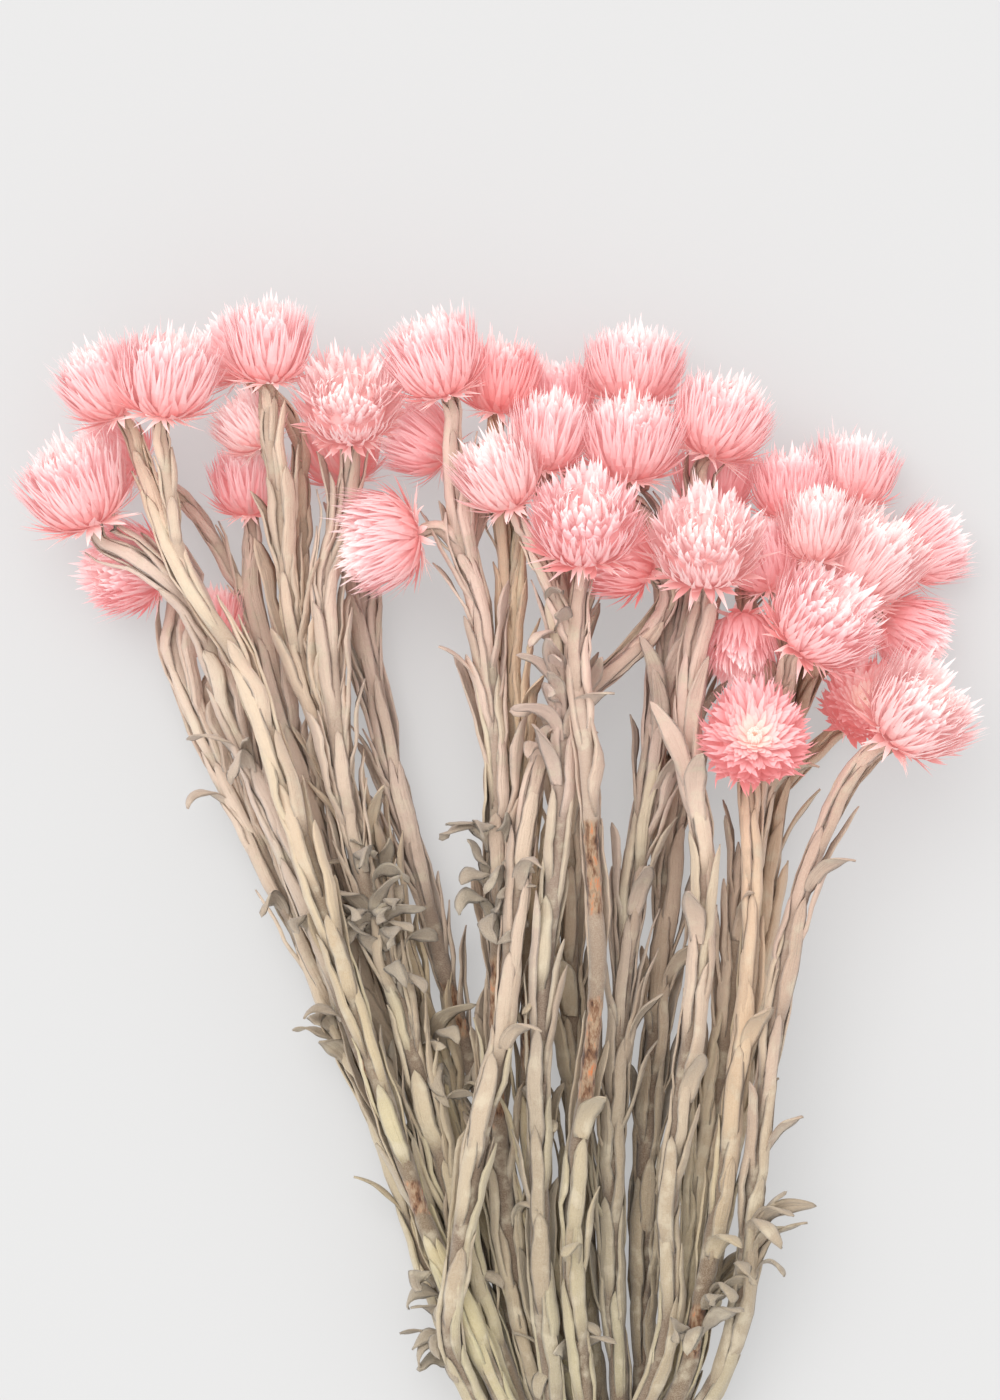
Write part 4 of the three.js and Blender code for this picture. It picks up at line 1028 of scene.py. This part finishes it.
# The middle of a head, seen only as pink between its bracts: shares of radius and height
HEARTS = {
    "bell": [(0.1, 0.0), (0.3, 0.04), (0.5, 0.14), (0.64, 0.26), (0.7, 0.38), (0.68, 0.5), (0.56, 0.6),
             (0.32, 0.66), (0.0, 0.68)],
    "open": [(0.1, 0.0), (0.3, 0.04), (0.5, 0.14), (0.6, 0.26), (0.6, 0.32), (0.5, 0.36), (0.36, 0.36),
             (0.2, 0.34), (0.0, 0.32)],
}
HEART_INFO = (0.34, 0.3, 0.3, 0.5)
HEART_SIDES = 16
CLOSED = 0.004

# The disc of an open head, and one floret: shares of its height with half widths, and its corners
FLORETS = 70
EYE_FLORETS = 5
DISC_SHARE = 0.13
FLORET_SHAPE = ((0, 0.4), (0.5, 0.45), (0.85, 0.55), (1.0, 0.15))
FLORET_CORNERS = np.array([0, 1.57, 3.14, 4.71])


def share_of(q, low, high):
    return np.clip((q - low) / (high - low), 0, 1)


def bract_curves(q, radius, height, form, rng):
    """Four control points of each bract as (radius, height) in millimetres."""
    n = len(q)
    kinds = [q < HANGING_SHARE, q < SPLAY_SHARE, q < BOWL_SHARE]
    spread = share_of(q, HANGING_SHARE, SPLAY_SHARE)
    side = share_of(q, SPLAY_SHARE, BOWL_SHARE)
    top = share_of(q, BOWL_SHARE, 1)
    flare = rng.uniform(-0.06, 0.08)
    dome_r = 0.9 * np.sqrt(1 - top)
    dome_w = 0.84 + 0.16 * np.sqrt(top)
    if form == "open":
        dome_r = 0.92 * np.sqrt(1 - top * 0.9)
        dome_w = 0.6 + 0.36 * np.clip(dome_r / 0.6, 0, 1) ** 1.3
    upright = (rng.uniform(size=n) < 0.3) | (form == "open")
    dome_r = np.where(upright, dome_r * 1.04, dome_r)
    dome_w = np.where(upright & (form == "bell"), dome_w + 0.05, dome_w)

    def pick(*values):
        """The value of each bract's own kind: hanging, splaying, in the bowl or in the dome."""
        *outer, dome = (np.broadcast_to(value, n) for value in values)
        return np.select(kinds, outer, dome)

    tip_r = pick(0.5 + 0.5 * rng.uniform(size=n), 1.0 + 0.14 * rng.uniform(size=n),
                 1.0 + flare * side, dome_r)
    tip_w = pick(rng.uniform(-0.16, 0.1, n), 0.12 + 0.34 * spread + rng.uniform(-0.05, 0.05, n),
                 0.42 + 0.47 * side**0.36, dome_w)
    tip_r = tip_r * (1 + rng.uniform(-0.05, 0.05, n))
    tip_w = tip_w * (1 + rng.uniform(-0.1, 0.07, n))
    first_r = pick(0.12, 0.14, 0.15, 0.08 * (1 - top) + 0.02)
    first_w = pick(0.03, 0.02, 0.03 + 0.03 * side, 0.12)
    second_r = pick(0.3, 0.48, 0.54 - 0.06 * side, np.where(upright, dome_r * 0.4, 0.3 + 0.3 * dome_r))
    second_w = pick(0.0, -0.01, 0.06 * side, 0.3 + 0.1 * top)
    bent_r = np.where(upright, dome_r * 0.76, dome_r + 0.26 * (1 - dome_r))
    bent_w = np.where(upright, dome_w * 0.68, dome_w - 0.2 + 0.12 * top)
    third_r = pick(0.5, 0.82, 0.9 - 0.05 * side, bent_r)
    third_w = pick(-0.02, 0.05 + 0.12 * spread, 0.14 + 0.22 * side, bent_w)
    scale = np.array([radius, height])
    return [np.stack(pair, axis=-1) * scale for pair in (
        (first_r, first_w), (second_r, second_w), (third_r, third_w), (tip_r, tip_w))]


def add_bracts(work, place_axes, radius, height, form, rng):
    origin, axis, side, up = place_axes
    radius = radius * SWELL[form]
    n = int(BRACTS_PER_HEAD * np.clip((radius / USUAL_RADIUS) ** 1.2, 0.62, 1.15))
    q = (np.arange(n) + 0.5) / n
    p0, p1, p2, p3 = (p[:, None] for p in bract_curves(q, radius, height, form, rng))
    phi = np.arange(n) * GOLDEN_ANGLE + rng.uniform(-0.14, 0.14, n)
    wisp = rng.uniform(size=n) < WISP_SHARE
    phases = rng.uniform(0, 2 * math.pi, 3)
    reach = 1 + 0.05 * np.sin(3 * phi + phases[0]) + 0.035 * np.sin(5 * phi + phases[1]) + 0.1 * wisp
    p3 = p3 * reach[:, None, None]
    tuft = TUFT_PULL * np.sin(TUFTS * phi + phases[2])
    t = PETAL_T[None, :, None]
    curve = (1 - t) ** 3 * p0 + 3 * t * (1 - t) ** 2 * p1 + 3 * t**2 * (1 - t) * p2 + t**3 * p3
    slope = (1 - t) ** 2 * (p1 - p0) + 2 * t * (1 - t) * (p2 - p1) + t**2 * (p3 - p2)
    flare = rng.uniform(-0.03, 0.08, n) * radius * (1 - 0.7 * q)
    curve[..., 0] += flare[:, None] * PETAL_T**7
    slope[..., 0] += 7 * flare[:, None] / 3 * PETAL_T**6
    slope = unit(slope)
    sway = rng.uniform(-1, 1, n) * SWAY[form]
    angle = phi[:, None] + (sway - tuft)[:, None] * PETAL_T**2
    out = circle(angle, side, up)
    ring = -np.sin(angle)[..., None] * side + np.cos(angle)[..., None] * up
    normal = slope[..., 1:2] * out - slope[..., 0:1] * axis
    loose = np.where(q < SPLAY_SHARE, 0.5, 0.1)
    tilt = (rng.uniform(-1, 1, n) * loose)[:, None, None] * t
    wide = ring * np.cos(tilt) + normal * np.sin(tilt)
    face = normal * np.cos(tilt) - ring * np.sin(tilt)
    width = (3.3 - 0.8 * q) * math.sqrt(radius / USUAL_RADIUS) * rng.uniform(0.75, 1.15, n)
    width = np.where((q < HANGING_SHARE) | wisp, width * WISP_WIDTH, width)
    half = (width[:, None] / 2 * np.where((q > BOWL_SHARE)[:, None], DOME_TAPER, PETAL_TAPER))[..., None]
    raised = np.abs(PETAL_V) * half * -0.1 + PETAL_RIDGE * PETAL_THICK
    centre = origin + curve[..., 0:1] * out + curve[..., 1:2] * axis
    verts = section(centre, wide, face, PETAL_V * half, raised)
    place = np.clip(curve[..., 1] / height, 0, 1)
    paleness = (PETAL_T * (1 - PLACE_SHARE) + place * PLACE_SHARE) * TIP_PALENESS[form]
    depth = (q * LAYERS[form])[:, None, None]
    info = channels(verts, paleness[..., None], rng.uniform(0, 1, (n, 1, 1)), depth, PETAL_V * 0.5 + 0.5)
    work.rings(verts, info, np.broadcast_to((q < HANGING_SHARE)[:, None, None], verts.shape[:-1]))


def add_heart(work, place_axes, profile, radius, height):
    origin, axis, side, up = place_axes
    out = circle(np.arange(HEART_SIDES) / HEART_SIDES * 2 * math.pi, side, up)
    rings = np.array([origin + out * max(r, CLOSED) * radius + axis * w * height for r, w in profile])[None]
    work.rings(rings, channels(rings, *HEART_INFO))


def add_florets(work, place_axes, radius, height, rng):
    """The disc of an open head: short cream florets on a low mound, the first few brown."""
    origin, axis, side, up = place_axes
    corners = circle(FLORET_CORNERS, side, up)
    for i in range(FLORETS):
        share = math.sqrt((i + 0.5) / FLORETS) * DISC_SHARE
        phi = i * SPIRAL_TURN
        out = math.cos(phi) * side + math.sin(phi) * up
        base = origin + out * share * radius + axis * height * (0.34 - share * 0.2)
        tall = height * (0.3 + rng.uniform(-0.04, 0.04))
        rows = np.array([base + axis * tall * level + wide * corners for level, wide in FLORET_SHAPE])[None]
        info = channels(rows, 1.0, rng.uniform(0, 0.6), 1.0, 0.5)
        work.rings(rows, info, -1.0 if i < EYE_FLORETS else 0.0)


def make_head(number):
    rng = np.random.default_rng(500 + number)
    foot, axis, radius, height, tone = HEADS[number]
    form = "open" if number in OPEN_HEADS else "bell"
    axis = unit(axis)
    hint = np.array([0, 1, 0]) if abs(axis[2]) > 0.8 else np.array([0, 0, 1])
    side = unit(hint - axis * hint.dot(axis))
    axes = (np.array(foot, float) + axis * JOINT_GAP, axis, side, np.cross(axis, side))
    work = Patchwork()
    add_heart(work, axes, HEARTS[form], radius * SWELL[form], height)
    add_bracts(work, axes, radius, height, form, rng)
    if form == "open":
        add_florets(work, axes, radius, height, rng)
    slot_name, material = PETALS[tone]
    piece = work.build("bloom_%02d" % number, material, flat=True)
    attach(piece, "root")
    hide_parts("head_%02d" % number)


# The tie: three turns of rubber round the bundle, each turn's section as (y, outwards)

TIE_CORNER = 4.6
TIE_ROOM = 0.35
TIE_ROOM_BELOW = 0.45
TURN_PITCH = 2.95
TURN_WOBBLE = 0.12
TURN_SECTION = ((-1.42, 0.25), (-1.42, 1.35), (-1.1, 1.72), (1.1, 1.72),
                (1.42, 1.35), (1.42, 0.25), (1.1, 0.05), (-1.1, 0.05))


def tie_outline():
    """Points round the bundle, with rounded corners: x, z, and the way out from each."""
    low = LOW_ROW_Z - STEM_TIE_RADIUS - TIE_ROOM_BELOW
    high = LOW_ROW_Z + 2 * ROW_PITCH + STEM_TIE_RADIUS + TIE_ROOM
    to_side = 3 * STEM_PITCH + STEM_TIE_RADIUS + TIE_ROOM - TIE_CORNER
    to_top = (high - low) / 2 - TIE_CORNER
    made = []
    for sx, sz, start in ((1, -1, -90), (1, 1, 0), (-1, 1, 90), (-1, -1, 180)):
        for step in range(0, 91, 15):
            out_x = math.cos(math.radians(start + step))
            out_z = math.sin(math.radians(start + step))
            made.append((TIE_X + sx * to_side + out_x * TIE_CORNER,
                         (low + high) / 2 + sz * to_top + out_z * TIE_CORNER, out_x, out_z))
    return made


def make_tie():
    work = Patchwork()
    outline = tie_outline()
    rng = np.random.default_rng(7)
    n = len(outline)
    m = len(TURN_SECTION)
    ring = np.arange(n)[:, None] * m
    next_ring = (ring + m) % (n * m)
    k = np.arange(m)
    next_k = (k + 1) % m
    quads = np.stack([ring + k, ring + next_k, next_ring + next_k, next_ring + k], axis=-1)
    for turn in (-1, 0, 1):
        wobble = rng.uniform(-TURN_WOBBLE, TURN_WOBBLE, n)
        rings = [[(x + out_x * out, TIE_Y + turn * TURN_PITCH + y + shift, z + out_z * out)
                  for y, out in TURN_SECTION]
                 for (x, z, out_x, out_z), shift in zip(outline, wobble)]
        work.add(rings, quads, np.zeros((0, 3), int), np.zeros((n * m, 4)))
    piece = work.build("tie_bands", rubber_material(), keep_up=False)
    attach(piece, "root")
    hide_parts("rubber_tie")


# Camera, floor and light, in metres

SENSOR = 36
FLOOR_HALF = 6.0
SUN_ENERGY = 1.55
SUN_SPREAD = 50
SUN_COLOUR = (1.0, 0.985, 0.965)
SUN_PLACE = (-1.0, 1.3, 3.0)
SUN_DISTANCE = 3.3
SKY_STRENGTH = 1.08


def make_camera(scene):
    camera = bpy.data.cameras.new("camera")
    camera.sensor_fit = "VERTICAL"
    camera.sensor_height = SENSOR
    camera.lens = SENSOR * CAMERA_DISTANCE / VIEW_HEIGHT
    camera.clip_end = 20
    eye = add_object("camera", camera)
    eye.location = np.array([VIEW_X, VIEW_Y, FOCUS_Z + CAMERA_DISTANCE]) * MM + SHIFT
    scene.camera = eye


def make_floor():
    mesh = bpy.data.meshes.new("floor")
    corners = [(x * FLOOR_HALF, y * FLOOR_HALF, 0) for x, y in ((-1, -1), (1, -1), (1, 1), (-1, 1))]
    mesh.from_pydata(corners, [], [(0, 1, 2, 3)])
    floor = add_object("floor", mesh)
    paint = Finish("floor_paint")
    settings(paint.shader, Base_Color=(0.3, 0.3, 0.3, 1), Roughness=0.9, Specular_IOR_Level=0.1,
             Emission_Color=(1, 1, 1, 1), Emission_Strength=0.39)
    mesh.materials.append(paint.material)


def make_light(scene):
    """An even white sky, and a broad sun whose angles leave the shadows soft."""
    world = bpy.data.worlds.new("studio")
    world.use_nodes = True
    settings(world.node_tree.nodes["Background"], Color=(1, 1, 1, 1), Strength=SKY_STRENGTH)
    scene.world = world
    sun = bpy.data.lights.new("softbox", "SUN")
    sun.energy = SUN_ENERGY
    sun.angle = math.radians(SUN_SPREAD)
    sun.color = SUN_COLOUR
    box = add_object("softbox", sun)
    box.location = SUN_PLACE
    across, along, high = SUN_PLACE
    box.rotation_euler = (-math.atan2(along, high), math.atan2(across, SUN_DISTANCE), 0)


def make_stage():
    scene = bpy.context.scene
    scene.view_settings.view_transform = "Standard"
    make_camera(scene)
    make_floor()
    make_light(scene)


make_stage()
make_tie()
for stem_number in STEMS:
    make_stem(stem_number)
for head_number in HEADS:
    make_head(head_number)
